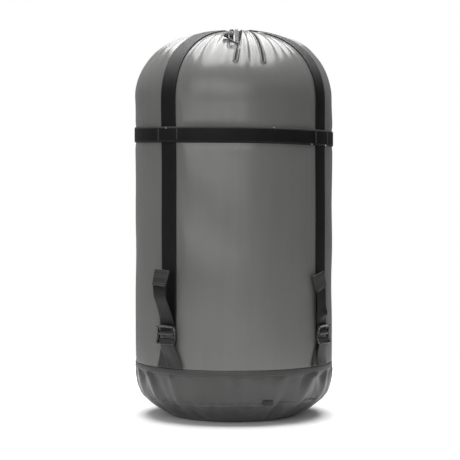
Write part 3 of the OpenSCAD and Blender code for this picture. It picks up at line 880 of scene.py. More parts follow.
fold_strip = ring_band(
    "base_fold_strip", lambda az: SEAM_Z - 0.0052 + 0 * az, fold_radius, 0.0098, 0.0007, SEAM_FOLD, BASE_AZ)


def level(r, z):
    return lambda az: (r, z)


for name, r, z, count, length, thread_r, material in (
        ("fold_topstitch", BODY_R + 0.0007, SEAM_Z - 0.0084, 300, 0.82, 0.00026, GREY_THREAD),
        ("band_topstitch", BODY_R - 0.0003, SEAM_Z - 0.0125, 300, 0.80, 0.00024, GREY_THREAD),
        ("disc_seam_stitch", DISC_SEAM_R + 0.0006, DISC_SEAM_Z + 0.0022, 290, 0.80, 0.00028, THREAD)):
    row = tube_set(name, stitches(level(r, z), count, length, thread_r), material)
    belongs(row, "thread", "sack")
    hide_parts()  # these rows stand for no CAD node
TAB_AZ, TAB_W, TAB_T = 20.0, 0.0165, 0.0010


def tab_piece():
    """The small blank tab in the disc seam: two layers of ribbon that meet at their edges."""
    low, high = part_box("seam_tab")
    cols, rows, h = np.linspace(-0.5, 0.5, 15), np.linspace(0, 1, 9), high.z - low.z
    front, back = [], []
    for q in rows:
        z = low.z + h * q
        share = max((z - DISC_SEAM_Z) / (SEAM_Z - DISC_SEAM_Z), 0)
        r = band_radius(share) + 0.0016 + 0.0008 * math.sin(math.pi * q)
        az = TAB_AZ + np.degrees(cols * TAB_W / r)
        wave = 0.0004 * np.sin(cols * 9 + 4 * q)
        front.append(around(az, r + TAB_T + wave, z))
        back.append(around(az, r + wave, z))
    points = np.array(front + back[::-1]).transpose(1, 0, 2)
    ring = np.concatenate([rows, rows[::-1], rows[:1]]) * h
    tab = grid_piece("seam_tab_ribbon", points, ring, cols * TAB_W, [TAB], wrap_n=True, flip=True, caps=True)
    grids = []
    for q in (0.18, 0.80):
        line = level(DISC_SEAM_R + 0.0040 + 0.0018 * q, low.z + h * q)
        grids += stitches(line, 9, 0.5, 0.00022, TAB_AZ - 2.9, 5.8)
    return joined("seam_tab_ribbon", [tab, tube_set("rows", grids, GREY_THREAD)])


belongs(disc, "base_cloth", "sack", "base_disc")
belongs(band, "base_cloth", "sack", "base_band")
belongs(fold_strip, "base_cloth", "sack", "base_seam_fold")
belongs(tab_piece(), "tab", "sack", "seam_tab")


# ---------------------------------------------------------------- webbing
SECTION = [
    (-0.5, -0.3), (-0.49, 0.25), (-0.44, 0.5), (-0.3, 0.5), (-0.15, 0.5), (0, 0.5), (0.15, 0.5), (0.3, 0.5),
    (0.44, 0.5), (0.49, 0.25), (0.5, -0.3), (0.44, -0.5), (0.2, -0.5), (-0.2, -0.5), (-0.44, -0.5)]


def ribbon(name, middle, outs, sides, width, thick, material, start=0.0, bend=0.0):
    """Webbing swept along a line. outs and sides are the directions of its face and its width at each point,
    and bend is how much its edges drop behind its middle there."""
    width, bend = (np.broadcast_to(x, len(middle)) for x in (width, bend))
    p, q = np.array(SECTION).T
    lift = q * thick - bend[:, None] * (2 * p) ** 2
    aside = p * width[:, None]
    points = middle[:, None] + sides[:, None] * aside[..., None] + outs[:, None] * lift[..., None]
    u = np.append(p, p[0]) * width.mean()
    return grid_piece(name, points, u, start + lengths(middle), [material], wrap_n=True, caps=True)


def crossing_line(lift_by):
    """Middle line of a crossing strap from low on one side over the dome to the axis: its distance from the
    axis and height, with the outward direction in its own plane and the drop of its edges."""
    rows = slice(0, RIM_ROW + 1)
    r, n = PROFILE[rows, 0], NORMAL[rows]
    off = GAP + WEB_T / 2
    lift = lift_by * np.clip(1 - r / 0.070, 0, 1) ** 0.6
    line = PROFILE[rows] + off * n + np.stack([0 * r, lift], 1)
    drop = (STRAP_W / 2) ** 2 * n[:, 0] / (2 * r)
    inner_r = np.linspace(CROWN_R, 0, 12)[1:]
    sag = MOUTH_SAG * (1 - (inner_r / CROWN_R) ** 2)
    inner = np.stack([inner_r, CROWN_Z + off + lift_by * (1 - inner_r / 0.070) ** 0.6 - sag], 1)
    flat = np.tile([0.0, 1.0], (len(inner), 1))
    inner_drop = np.linspace(drop[-1], 0, len(inner) + 1)[1:]
    return np.concatenate([line, inner]), np.concatenate([n, flat]), np.concatenate([drop, inner_drop])


def crossing_strap(name, corner_a, corner_b, lift_by):
    """One whole strap: it starts above the ladder lock at one corner and ends above the opposite one."""
    line, out, drop = crossing_line(lift_by)
    radial, side = outward(CORNER_AZ[corner_a]), across(CORNER_AZ[corner_a])
    halves = []
    for corner, sign in ((corner_a, 1), (corner_b, -1)):
        low = LOCK_Z[corner] + 0.0096
        keep = line[:, 1] >= low + 0.001
        flat = np.concatenate([[[line[0, 0], low]], line[keep]]), np.concatenate([out[:1], out[keep]])
        upright = [sign * v[:, :1] * radial + v[:, 1:] * UP for v in flat]
        halves.append(np.column_stack([*upright, np.append(drop[0], drop[keep])]))
    whole = np.concatenate([halves[0], halves[1][-2::-1]])
    middle = whole[:, :3]
    # a slight wander, so that the webbing isn't a perfect band
    long = lengths(middle)
    wander = 0.0007 * np.sin(long * 11 + corner_a) + 0.0004 * np.sin(long * 29 + 2 * corner_a)
    middle = middle + wander[:, None] * side
    sides = np.tile(side, (len(middle), 1))
    return ribbon(name, middle, whole[:, 3:6], sides, STRAP_W, WEB_T, WEBBING, bend=whole[:, 6])


under = crossing_strap("strap_left_front_to_back", 0, 2, 0.0)
over = crossing_strap("strap_right_front_to_back", 1, 3, WEB_T + GAP)
belongs(under, "webbing", None, "crossing_strap_under", "lower_strap_front_left", "lower_strap_rear_right")
belongs(over, "webbing", None, "crossing_strap_over", "lower_strap_front_right", "lower_strap_rear_left")
across_compression(under)
across_compression(over)


def ring_height(az):
    lean = BODY_R * np.sin(np.radians(az)) * math.tan(RING_LEAN)
    return RING_Z - lean + 0.0006 * np.sin(np.radians(3 * az + 40))


def ring_radius(az):
    """The ring webbing lies on the cloth and climbs over each vertical strap."""
    near = strap_distance(np.asarray(az), BODY_R)
    return BODY_R + 0.0003 + 0.0019 * ease((0.027 - near) / 0.011)


RING_AZ = np.linspace(-180, 180, 721)[:-1]
ring = ring_band("ring_webbing", ring_height, ring_radius, RING_W, WEB_T, WEBBING, RING_AZ)
belongs(ring, "webbing", "top", "ring_strap")


def thread_bars():
    """Bars of close zigzag thread that hold the ring webbing at both sides of each strap."""
    grids = []
    aside = math.degrees(math.asin(0.019 / 0.164))
    width, height, rows = 0.0022, 0.0165, 22
    share = np.array([0, 0.15, 0.85, 1])
    for az in (c + s * aside for c in CORNER_AZ for s in (-1, 1)):
        r = ring_radius(az) + WEB_T
        half = np.degrees(width / 2 / r)
        for k in range(rows):
            h = ring_height(az) + height * (k / (rows - 1) - 0.5) + np.array([0, 0.0001, 0.0004, 0.0005])
            row_az = az + half * (2 * share - 1) * (1 if k % 2 else -1)
            grids.append(tube_grid(around(row_az, r + 0.0003 * np.array([-1, 1, 1, -1]), h), 0.00030, 6))
    return tube_set("ring_thread_bars", grids, THREAD)


def ring_edge_stitches():
    """Two rows of lockstitch that hold the ring webbing to the cloth between the straps."""
    grids = []
    for up in (-0.0102, 0.0102):
        def line(az, up=up):
            return ring_radius(az) + WEB_T, ring_height(az) + up
        grids += stitches(line, 270, 0.85, 0.00022)
    return tube_set("ring_lockstitch", grids, THREAD)


def thread_ends():
    """A few thread tails at the webbing's edges, coloured pale as painted glints of light on them: direction,
    height from its middle, and run down.
    """
    grids = []
    for az, up, run in ((-40.5, 0.0105, 0.0022), (22.0, 0.0122, 0.0018), (48.5, -0.0112, 0.0020),
                        (62.0, -0.0118, 0.0018), (137.0, 0.0108, 0.0020), (-118.0, -0.0110, 0.0018)):
        r = ring_radius(az) + WEB_T + 0.0004 + np.array([-0.0008, 0.0003, 0.0006, 0.0004])
        z = ring_height(az) + up + np.array([0, 0.0003, 0.2 * run, -0.6 * run])
        line = around(az + np.array([0, 0.12, 0.35, 0.55]), r, z)
        grids.append(tube_grid(smoothed(line, 4), 0.00042, 6))
    return tube_set("loose_thread_ends", grids, PALE_THREAD_PAINTED_GLINT)


def box_stitch():
    """Box with a cross in it where the two straps are sewn together over the mouth."""
    top = crossing_line(WEB_T + GAP)[0][-1, 1] + WEB_T / 2
    plane = np.array([across(CORNER_AZ[1]), outward(CORNER_AZ[1])])
    a, b, c, d = np.array([(-1, -1), (1, -1), (1, 1), (-1, 1)]) * [0.0092, 0.0088]
    grids = []
    for start, end in ((a, b), (b, c), (c, d), (d, a), (a, c), (b, d)):
        def place(t, lift, start=start, end=end):
            return (start + (end - start) * t[:, None]) @ plane + (top + lift)[:, None] * UP
        count = int(np.linalg.norm(end - start) / 0.0024)
        grids += stitch_run(place, count, (0.06, 0.2), (-0.0001, 0.0002), 0.00030)
    return tube_set("crown_box_stitch", grids, THREAD)


belongs(thread_bars(), "thread", "top", "ring_bartacks")
belongs(ring_edge_stitches(), "thread", "top")
belongs(thread_ends(), "thread", "top")
belongs(box_stitch(), "thread", "top", "crown_bartack")


def side_seam():
    """Felled seam up the back of the body and over the dome, with its two rows of stitching."""
    column = int(np.argmin(np.abs(wrap(AZ - SIDE_SEAM_AZ))))
    rows = np.arange(2, RIM_ROW - 26)
    r, n = PROFILE[rows, 0], NORMAL[rows]
    radial, side = outward(SIDE_SEAM_AZ), across(SIDE_SEAM_AZ)
    outs = n[:, :1] * radial + n[:, 1:] * UP
    lift = OFFSET[rows, column] + 0.0005
    middle = r[:, None] * radial + PROFILE[rows, 1:] * UP + lift[:, None] * outs
    width = 0.0105 * (1 - 0.7 * ease((rows - rows[-1] + 30) / 30))
    strip = ribbon("strip", middle, outs, np.tile(side, (len(rows), 1)), width, CLOTH_T, BODY,
                   bend=width**2 / 8 / np.maximum(r, 0.05) * n[:, 0])
    long = lengths(middle)
    known = np.column_stack([middle, outs, width])
    grids = []
    for s in (-0.34, 0.34):
        def place(t, lift, s=s):
            line = np.column_stack([np.interp(t * long[-1], long, x) for x in known.T])
            return line[:, :3] + line[:, 3:6] * (0.00045 + lift)[:, None] + side * s * line[:, 6:]
        grids += stitch_run(place, int(long[-1] / 0.0026), (0.12, 0.25), (-0.0002, 0.0001), 0.00024)
    return joined("body_side_seam", [strip, tube_set("rows", grids, GREY_THREAD)])


seam = side_seam()
belongs(seam, "body_cloth", None, "lower_side_seam", "upper_side_seam")
across_compression(seam)


def hem_piece():
    """The gathered hem: a puckered sleeve of cloth that holds the drawcord ring."""
    low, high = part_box("hem_channel")
    az = np.linspace(-180, 180, 433)[:-1]
    mid_r, half_r, half_z = 0.01895, 0.0036, (high.z - low.z) / 2
    phase = np.cumsum(np.random.default_rng(23).uniform(0.7, 1.3, len(az)))
    ripple = np.sin(phase / phase[-1] * 2 * math.pi * PLEATS)
    points = np.array([around(az, mid_r + (half_r + 0.0005 * ripple) * math.cos(b),
                              (low.z + high.z) / 2 + (half_z - 0.0002 + 0.0003 * ripple) * math.sin(b))
                       for b in circle(24)])
    return grid_piece("hem_sleeve", points, whole_turn(az) * BODY_R, np.arange(25) * 0.001, [BODY],
                      wrap_n=True, wrap_m=True, flip=True)


belongs(hem_piece(), "body_cloth", "top", "hem_channel")

# ---------------------------------------------------------------- ladder locks, anchors and tails
# places at a corner are (across, outward, up), or (outward, up) where a part is the same all across
BAR_R = 0.0020
CENTRE_BAR = np.array([0.0004, 0.0110])
CENTRE_BAR_R = 0.0019
LIP = np.array([0.0030, 0.0215])
GUARD = np.array([0.0066, -0.0043])
TAIL_R = 0.0034
TAIL_H = 0.090
FOLD_LEN = 0.0245
ANCHOR_SHIFTS = [(0.0160, -0.0085), (0.002, -0.015), (0.010, -0.010), (0.010, -0.010)]
RAIL_T = 0.00185
RAIL_X = STRAP_W / 2 + 0.0009 + RAIL_T
RAIL = [  # height, half depth
    (-0.0054, 0.0020), (-0.0047, 0.0029), (-0.0022, 0.0033), (0.0045, 0.0023), (0.0085, 0.0027),
    (0.011, 0.0029), (0.0135, 0.0027), (0.0165, 0.0023), (0.0195, 0.0022), (0.0215, 0.0022),
    (0.0229, 0.0016), (0.0236, 0.0006)]


def corner_frame(i):
    """Where (across, outward, up) is zero at a corner, and those three directions as rows."""
    az = CORNER_AZ[i]
    return outward(az) * LOCK_R + UP * LOCK_Z[i], np.array([across(az), outward(az), UP])


def placed(i, local):
    """Local points (across, outward, up) of corner i in the shared frame."""
    zero, directions = corner_frame(i)
    return zero + np.asarray(local, float) @ directions


def spot(i, u, z):
    return tuple(placed(i, [0, u, z]))


def rounded(count, power, half_a, half_b):
    """Points of a rounded oblong, as two rows; a higher power is squarer."""
    a = circle(count)
    waves = (np.cos(a), half_a), (np.sin(a), half_b)
    return [np.sign(w) * np.abs(w) ** (2 / power) * half for w, half in waves]


def rounded_bar(line, half_u, half_z, tilt=0.0):
    """A bar of rounded oblong section along a line of (across, outward, up) points."""
    c, s = rounded(14, 2.6, half_u, half_z)
    u, z = c * math.cos(tilt) - s * math.sin(tilt), c * math.sin(tilt) + s * math.cos(tilt)
    return np.array([np.stack([np.full(len(u), p[0]), p[1] + u, p[2] + z], 1) for p in line])


def rail_grid(x):
    """Side rail: an upright plate whose outline follows the three bars, with rounded edges."""
    rows = []
    for h, half in RAIL:
        middle = np.interp(h, [-0.0045, 0, 0.011, 0.0215], [0.0044, 0.0004, 0.0004, 0.0030])
        across_it, out = rounded(16, 2 / 0.7, RAIL_T, half)
        rows.append(np.stack([x + across_it, middle + out, np.full(16, h)], 1))
    return np.array(rows)


def buckle_mesh():
    """The moulded ladder lock: rails, three bars and the flared lip, fused with soft fillets."""
    parts = [(rail_grid(s * RAIL_X), False) for s in (-1, 1)]
    ends = np.linspace(-RAIL_X, RAIL_X, 25)
    arch = 1 - (ends / RAIL_X) ** 2
    flared = slice(2, -2)
    for xs, u, z, half_u, half_z, tilt in (
            (ends, 0, 0 * arch, 0.0019, 0.0019, 0),
            (ends, CENTRE_BAR[0], CENTRE_BAR[1] + 0 * arch, 0.0018, 0.0018, 0),
            (ends, LIP[0] - 0.0001, LIP[1] + 0.0009 * arch, 0.0014, 0.0016, 0),
            (ends[flared], LIP[0] + 0.0014, LIP[1] + 0.0016 + 0.0009 * arch[flared], 0.0016, 0.0008, 38),
            (ends, GUARD[0], GUARD[1] - 0.0003 * arch, 0.0008, 0.0010, 0)):
        line = [(x, u, h) for x, h in zip(xs, z)]
        parts.append((rounded_bar(line, half_u, half_z, math.radians(tilt)), True))
    objs = []
    for g, flip in parts:
        no_uv = [np.zeros(count + 1) for count in g.shape[1::-1]]
        objs.append(grid_piece("part", g, *no_uv, [BUCKLE], wrap_n=True, caps=True, flip=flip))
    whole = joined("buckle_raw", objs)
    fixed_normals(whole)
    fuse = whole.modifiers.new("fuse", "REMESH")
    fuse.mode, fuse.voxel_size, fuse.use_smooth_shade = "VOXEL", 0.00040, True
    soft = whole.modifiers.new("soft", "SMOOTH")
    soft.factor, soft.iterations = 0.5, 4
    mesh = applied(whole)
    bpy.data.objects.remove(whole)
    co = np.zeros(len(mesh.vertices) * 3)
    mesh.vertices.foreach_get("co", co)
    return co.reshape(-1, 3), [tuple(p.vertices) for p in mesh.polygons]


BUCKLE_POINTS, BUCKLE_FACES = buckle_mesh()


def arc_points(centre, r, a0, a1, count):
    angles = np.radians(np.linspace(a0, a1, count))
    return [(centre[0] + r * math.cos(a), centre[1] + r * math.sin(a)) for a in angles]


def local_frames(i, line, twist=0.0, shift=0.0):
    """Places a line of (outward, up) points at corner i: its points, and the directions of the webbing's face
    and width. twist turns the width about the length, in degrees, and shift moves it across."""
    u, z = np.asarray(line, float).T
    points = placed(i, np.stack(np.broadcast_arrays(shift, u, z), 1))
    twist = np.radians(np.broadcast_to(twist, len(u)))[:, None]
    x = across(CORNER_AZ[i])
    run = unit(np.gradient(points, axis=0))
    side = unit(x - run * (run @ x)[:, None])
    face = np.cross(side, run)
    return points, np.cos(twist) * face - np.sin(twist) * side, np.cos(twist) * side + np.sin(twist) * face


FOOT_U = -0.0040 + GAP + WEB_T / 2


def turn_piece(i):
    """The strap leaves the cloth, passes under and round the centre bar and goes up behind the lip."""
    r = CENTRE_BAR_R + 0.0001 + WEB_T / 2
    back, (u, z) = LIP[0] - TAIL_R, CENTRE_BAR
    low_bend = arc_points((FOOT_U + 0.0012, z - r + 0.0012), 0.0012, 180, 270, 5)
    high_bend = arc_points((back + 0.0011, z + r + 0.0011), 0.0011, 270, 180, 5)
    line = [(FOOT_U, 0.0150), (FOOT_U, 0.0120), *low_bend, *arc_points((u, z), r, -90, 90, 13), *high_bend[1:],
            (back, LIP[1] - 0.0060), (back, LIP[1] - 0.0040)]
    # the turn takes the lighter webbing: painted sheen on the bend round the centre bar
    return ribbon(f"strap_turn_{CORNERS[i]}", *local_frames(i, line), STRAP_W - 0.0006, WEB_T, TURN_WEB_PAINTED_SHEEN)


TAIL_SHAPES = [  # by height: how far it stands out, its twist in degrees, and its shift across
    {"out": [(0, 0), (0.012, 0.0012), (0.030, 0.0075), (0.048, 0.0152), (0.060, 0.0172), (0.072, 0.0163),
             (0.09, 0.0120)],
     "twist": [(0, 0), (0.03, 6), (0.055, 8), (0.09, -6)],
     "shift": [(0, 0), (0.045, -0.0022), (0.09, 0.0006)]},
    {"out": [(0, 0), (0.006, 0.0006), (0.013, 0.0028), (0.020, 0.0046), (0.030, 0.0036), (0.050, 0.0026),
             (0.066, 0.0022), (0.09, 0.0040)],
     "twist": [(0, 0), (0.005, -2), (0.011, -8), (0.018, 9), (0.026, 4), (0.034, -2), (0.055, 0), (0.068, 5),
               (0.09, 14)],
     "shift": [(0, 0), (0.004, -0.0016), (0.011, -0.0058), (0.020, -0.0070), (0.055, -0.0076),
               (0.064, -0.0104), (0.09, -0.0245)],
     "long": 0.085},
    {"out": [(0, 0), (0.02, 0.0020), (0.045, 0.0105), (0.062, 0.0122), (0.09, 0.0080)],
     "twist": [(0, 0), (0.03, -9), (0.06, -14), (0.09, -4)],
     "shift": [(0, 0), (0.05, 0.0020), (0.09, 0.0045)]},
    {"out": [(0, 0), (0.02, 0.0018), (0.045, 0.0080), (0.070, 0.0098), (0.09, 0.0086)],
     "twist": [(0, 0), (0.04, 12), (0.09, 20)],
     "shift": [(0, 0), (0.05, -0.0020), (0.09, -0.0050)]}]


def eased(h, pairs, window=7):
    """Values of a list of (height, value) pairs at heights h, with the corners rounded off."""
    plain = np.interp(h, *zip(*pairs))
    return np.convolve(np.pad(plain, window // 2, "edge"), np.ones(window) / window, "valid")


def tail_piece(i):
    """The loose end: up over the lip, leaning out, twisted a little, its end folded over and sewn."""
    shape = TAIL_SHAPES[i]
    top_h = shape.get("long", TAIL_H)
    h = np.concatenate([np.linspace(-0.0060, 0.0, 6), np.linspace(0.001, top_h, 60)])
    line = np.stack([LIP[0] - TAIL_R + eased(h, shape["out"]), LIP[1] + h], 1)
    cup = 0.0005 * np.sin(np.clip(h / TAIL_H, 0, 1) * 7)
    middle, outs, sides = local_frames(i, line, eased(h, shape["twist"]), eased(h, shape["shift"]))
    tail = ribbon("tail", middle, outs, sides, STRAP_W, WEB_T, TAIL_WEB, bend=cup)
    # the end is folded over: a second layer in front of the first, and a rounded turn at the top
    keep = h >= top_h - FOLD_LEN
    mid, out, side, dip = middle[keep], outs[keep], sides[keep], cup[keep]
    loose = 0.0008 * ease(1 - np.arange(len(mid)) / (len(mid) * 0.25))
    front = mid + out * (WEB_T * 1.04 + loose)[:, None]
    run = np.cross(out[-1], side[-1])
    run *= np.sign(run @ (mid[-1] - mid[-2]))
    r, a = WEB_T * 0.52, np.linspace(0.2, math.pi - 0.2, 7)[:, None]
    turn = mid[-1] + out[-1] * (r - r * np.cos(a)) + run * r * np.sin(a)
    fold_over = np.column_stack([front, out, side, dip])[::-1]
    face = run * np.sin(a) - out[-1] * np.cos(a)
    bow = np.column_stack([turn, face, np.tile(np.append(side[-1], dip[-1]), (len(turn), 1))])
    both = np.concatenate([bow, fold_over])
    # the folded layer takes the lighter webbing: painted highlight on the curled end
    layer = ribbon("fold", both[:, :3], both[:, 3:6], both[:, 6:9], STRAP_W - 0.0004, WEB_T, FOLD_WEB_PAINTED_HIGHLIGHT,
                   start=0.01, bend=both[:, 9])
    # stitch rows across the fold
    grids = []
    for k in (int(share * (len(front) - 1)) for share in (0.10, 0.22, 0.62, 0.74)):
        def place(t, lift, k=k):
            x = -0.0125 + 0.025 * t
            lift = lift + WEB_T / 2 - dip[k] * (2 * x / STRAP_W) ** 2
            return front[k] + x[:, None] * side[k] + lift[:, None] * out[k]
        grids += stitch_run(place, 10, (0.1, 0.25), (-0.0002, 0.0002), 0.00026)
    return joined(f"strap_end_{CORNERS[i]}", [tail, layer, tube_set("rows", grids, GREY_THREAD)])


ANCHOR_LOOP_R = BAR_R + 0.00035 + WEB_T / 2


def sheet_solid(mid, i):
    """Gives a (rows, columns, 3) sheet at corner i the webbing's thickness, closed all round."""
    n = unit(np.cross(np.gradient(mid, axis=1), np.gradient(mid, axis=0)))
    n *= np.sign(n[..., 1].mean())
    half = np.full((mid.shape[1], 1), WEB_T / 2)
    half[[0, -1]] *= 0.35
    points = np.concatenate([mid + n * half, (mid - n * half)[:, ::-1]], axis=1)
    u = np.linspace(-0.5, 0.5, mid.shape[1]) * STRAP_W
    u = np.concatenate([u, u[::-1], u[:1]])
    return grid_piece("leg", placed(i, points), u, lengths(mid.mean(1)), [ANCHOR_WEB_PAINTED_LIGHT], wrap_n=True, caps=True)


def anchor_leg(i, side, low_gap):
    """One anchor leg, in front of (side 1) or behind (-1) the ladder lock's bar, down to the body seam."""
    top_u, shift = side * ANCHOR_LOOP_R, ANCHOR_SHIFTS[i][0 if side > 0 else 1]
    t, cols = np.linspace(0, 1, 26)[:, None], np.linspace(-0.5, 0.5, 17)
    x = cols * STRAP_W + shift * t**1.15
    on_cloth = np.sqrt(np.maximum((BODY_R + low_gap) ** 2 - x**2, 0)) - LOCK_R
    flat_u = top_u + (low_gap - 0.004 - top_u) * ease(t / 0.85)
    u = np.maximum(flat_u - 0.0012 * np.sin(math.pi * t) * (2 * cols) ** 2, on_cloth)
    u = u + 0.0005 * np.sin(math.pi * t) * np.sin(7 * cols + i)
    z = (SEAM_Z + 0.0009 - LOCK_Z[i]) * t - 0.0003
    return sheet_solid(np.stack(np.broadcast_arrays(x, u, z), -1), i)


def anchor_pieces(i):
    """Anchor webbing: over the ladder lock's lower bar, then two legs that spread to the body seam."""
    half = arc_points((0, 0), ANCHOR_LOOP_R, *np.degrees([math.pi + 0.12, -0.12]), 17)
    # the anchor webbing is lighter than the straps: painted light
    loop = ribbon("loop", *local_frames(i, half), STRAP_W - 0.0005, WEB_T, ANCHOR_WEB_PAINTED_LIGHT)
    front = anchor_leg(i, 1, 0.0009 + WEB_T * 1.5)
    back = anchor_leg(i, -1, 0.0005 + WEB_T / 2)
    return joined(f"anchor_front_{CORNERS[i]}", [loop, front]), joined(f"anchor_back_{CORNERS[i]}", [back])


for i, corner in enumerate(CORNERS):
    lock_body, tail_body = f"lock_{corner}", f"tail_{corner}"
    buckle = make(f"buckle_{corner}", placed(i, BUCKLE_POINTS), BUCKLE_FACES, None, [BUCKLE])
    belongs(buckle, "buckle_plastic", lock_body, f"ladder_lock_{corner}")
    turn, tail = turn_piece(i), tail_piece(i)
    belongs(turn, "webbing", None, f"strap_turn_{corner}")
    spot(i, FOOT_U + 0.0003, 0.008)
    spot(i, -0.0012, 0.008)
    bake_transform(turn)
    belongs(tail, "webbing", None, f"strap_tail_{corner}")
    spot(i, 0, LIP[1] - 0.0045)
    spot(i, 0, LIP[1] + 0.012)
    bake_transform(tail)
    front_leg, back_leg = anchor_pieces(i)
    belongs(back_leg, "webbing", "sack", f"anchor_loop_{corner}")
    belongs(front_leg, "webbing", None)
    spot(i, 0, -0.020)
    spot(i, 0, -0.003)
    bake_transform(front_leg)


# ---------------------------------------------------------------- cord lock, in millimetres
def lock_place(points):
    """Points (across, along the cord, up) of the cord lock, in millimetres, in the shared frame."""
    zero = np.array([0, LOCK_CENTRE[1], LOCK_CENTRE[2]])
    return (zero + np.asarray(points, float) @ np.array([[1, 0, 0], -LOCK_RUN, LOCK_UP])) * MM


FLUTES, FLUTE_DEPTH = 16, 0.55


def turned(name, outline, segments, hollow=False):
    """A shape turned about the barrel's axis from (x, radius, 1 where it is fluted) points. A hollow one is a
    closed ring of rows: the last row joins the first."""
    a = circle(segments)
    rows = []
    for x, r, fluted in outline:
        rr = r + fluted * FLUTE_DEPTH * (np.cos(FLUTES * a) - 1) / 2
        rows.append(np.stack([np.full(segments, x), rr * np.cos(a), rr * np.sin(a)], 1))
    obj = grid_piece(name, lock_place(rows), np.arange(segments + 1) / segments, np.arange(len(rows) + 1) * MM,
                     [LOCK], wrap_n=True, wrap_m=hollow, caps=not hollow)
    fixed_normals(obj)
    return obj


def cut_slot(obj, wider=0.0):
    """Cuts the slot for the cords through obj, wider towards the button by so much."""
    x0, x1 = LOCK_CENTRE[0] - SLOT_HALF_W - wider, LOCK_CENTRE[0] + SLOT_HALF_W
    corners = [(x, y, z) for x in (x0, x1) for y in (-9, 9) for z in (-SLOT_HALF_H, SLOT_HALF_H)]
    faces = [(0, 1, 3, 2), (4, 6, 7, 5), (0, 4, 5, 1), (2, 3, 7, 6), (0, 2, 6, 4), (1, 5, 7, 3)]
    cutter = make("cutter", lock_place(corners), faces)
    slot = obj.modifiers.new("slot", "BOOLEAN")
    slot.operation, slot.object, slot.solver = "DIFFERENCE", cutter, "EXACT"
    mesh = applied(obj)
    obj.modifiers.clear()
    obj.data = mesh
    bpy.data.objects.remove(cutter)


SLOT_HALF_W, SLOT_HALF_H = (CORD_D / MM + 0.3) / 2, (CORD_D / MM + 2 * CORD_SIDE + 0.3) / 2
BARREL_X0, BARREL_X1 = -12.8, -0.5
BARREL_LINE = [(BARREL_X0 + x, r, fluted) for x, r, fluted in (
    (0, 4.75, 0), (0.25, 5.1, 0), (1, 5.2, 0), (1.5, 5.2, 0), (1.9, 5.2, 1), (4, 5.2, 1), (8, 5.2, 1))]
BARREL_LINE += [(BARREL_X1 - x, r, fluted) for x, r, fluted in (
    (1.9, 5.2, 1), (1.5, 5.2, 0), (0.9, 5.15, 0), (0.3, 4.8, 0), (0, 4.2, 0), (0, 0.02, 0), (1, 0.02, 0),
    (1, 3.85, 0))]
BARREL_LINE += [(BARREL_X0 + 0.6, 3.85, 0), (BARREL_X0 + 0.05, 4.1, 0)]
PLUNGER_X0, PLUNGER_X1 = BARREL_X0 - 3.4, LOCK_CENTRE[0] + SLOT_HALF_W + 1.2
PLUNGER_LINE = [(PLUNGER_X0 + x, r, 0) for x, r in (
    (0, 2.9), (0.2, 3.35), (0.7, 3.62), (1, 3.7), (1.4, 3.3), (1.8, 3.7))]
PLUNGER_LINE += [(PLUNGER_X1 - 0.4, 3.72, 0), (PLUNGER_X1, 3.4, 0)]
barrel = turned("cord_lock_shell", BARREL_LINE, 96, hollow=True)
cut_slot(barrel)
belongs(barrel, "lock_plastic", "cord_lock", "cord_lock_barrel")
plunger = turned("cord_lock_button", PLUNGER_LINE, 64)
cut_slot(plunger, wider=2.6)
belongs(plunger, "lock_plastic", "cord_lock_button", "cord_lock_plunger")

# a conical spring: its turns go flat inside each other when the plunger is pressed
COIL_X, COIL_R, COIL_TURNS, COIL_WIRE = (PLUNGER_X1 + 0.3, BARREL_X1 - 1.3), (3.1, 1.3), 3.2, 0.22
t = np.linspace(0, 1, 97)
coil_r, angle = np.interp(t, (0, 1), COIL_R), 2 * np.pi * COIL_TURNS * t
coil_line = np.stack([np.interp(t, (0, 1), COIL_X), coil_r * np.cos(angle), coil_r * np.sin(angle)], 1)
coil = tube("cord_lock_coil", lock_place(coil_line), COIL_WIRE * MM, 8, STEEL)
belongs(coil, "spring_steel", None, "cord_lock_spring")
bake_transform(coil)

# the one CAD node that stays: the drawcord ring in its sleeve
ring_of_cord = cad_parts["drawcord_ring"]
ring_of_cord.data.materials.clear()
ring_of_cord.data.materials.append(CORD)

# ---------------------------------------------------------------- studio
scene = bpy.context.scene
scene.view_settings.view_transform = "Standard"
scene.view_settings.look = "None"
FLOOR_FADE = (0.45, 0.90)
FLOOR_HALF = 2.0


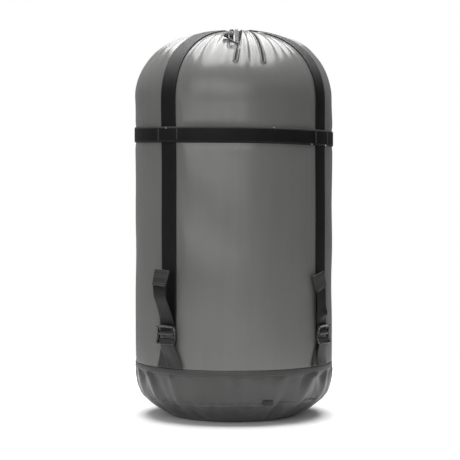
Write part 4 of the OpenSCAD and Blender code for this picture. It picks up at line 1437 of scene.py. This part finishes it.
def studio_floor():
    """Pale floor that fades into the white surroundings away from the object."""
    m = Material("pale_floor")
    m.finish(m.colour(m.noise(30, 3), grey(0.86), grey(0.89)), 0.7, Specular_IOR_Level=0.1)
    length = m.add("ShaderNodeVectorMath", operation="LENGTH")
    m.plug(length.inputs, m.add("ShaderNodeTexCoord").outputs["Object"])
    mix, clear = m.add("ShaderNodeMixShader"), m.add("ShaderNodeBsdfTransparent")
    m.plug(mix.inputs, m.ramp(length.outputs["Value"], *FLOOR_FADE), m.shader.outputs[0], clear.outputs[0])
    m.plug(m.out.inputs, mix.outputs[0])
    corners = [(x, y, 0.0) for x in (-FLOOR_HALF, FLOOR_HALF) for y in (-FLOOR_HALF, FLOOR_HALF)]
    make("studio_floor", corners, [(0, 2, 3, 1)], None, [m.material], smooth=False)


def softbox(name, place, aim, size, power, mirrored=True):
    light = bpy.data.lights.new(name, "AREA")
    light.shape, light.size, light.size_y, light.energy = "RECTANGLE", *size, power
    o = placed_object(name, light)
    o.location = place
    o.rotation_euler = (Vector(aim) - Vector(place)).to_track_quat("-Z", "Y").to_euler()
    o.visible_glossy = mirrored


def surroundings():
    """White to the camera; as a light, brighter above and dimmer to the right."""
    scene.world = bpy.data.worlds.new("studio")
    scene.world.use_nodes = True
    w = Nodes(scene.world.node_tree)
    x, _, z = w.split(w.add("ShaderNodeTexCoord").outputs["Generated"])
    light = w.ramp(z, -0.2, 0.9, 0.24, 0.50, "LINEAR") * w.ramp(x, -0.3, 0.8, 1.0, 0.45, "LINEAR")
    seen, lit = w.add("ShaderNodeBackground"), w.add("ShaderNodeBackground")
    w.plug(seen.inputs, (1, 1, 1, 1), 1.0)
    w.plug(lit.inputs, (1, 1, 1, 1), light)
    mix, path = w.add("ShaderNodeMixShader"), w.add("ShaderNodeLightPath")
    w.plug(mix.inputs, path.outputs["Is Camera Ray"], lit.outputs[0], seen.outputs[0])
    w.plug(w.add("ShaderNodeOutputWorld").inputs, mix.outputs[0])


studio_floor()
softbox("overhead", (0.0, 0.45, 2.3), (0, 0.45, 0), (2.25, 2.95), 134)
softbox("front_left", (-1.7, -4.8, 1.65), (0, 0, 0.32), (8.0, 3.0), 140)
softbox("low_right", (1.45, -2.3, 0.22), (0, 0, 0.22), (1.3, 0.4), 10, mirrored=False)
surroundings()
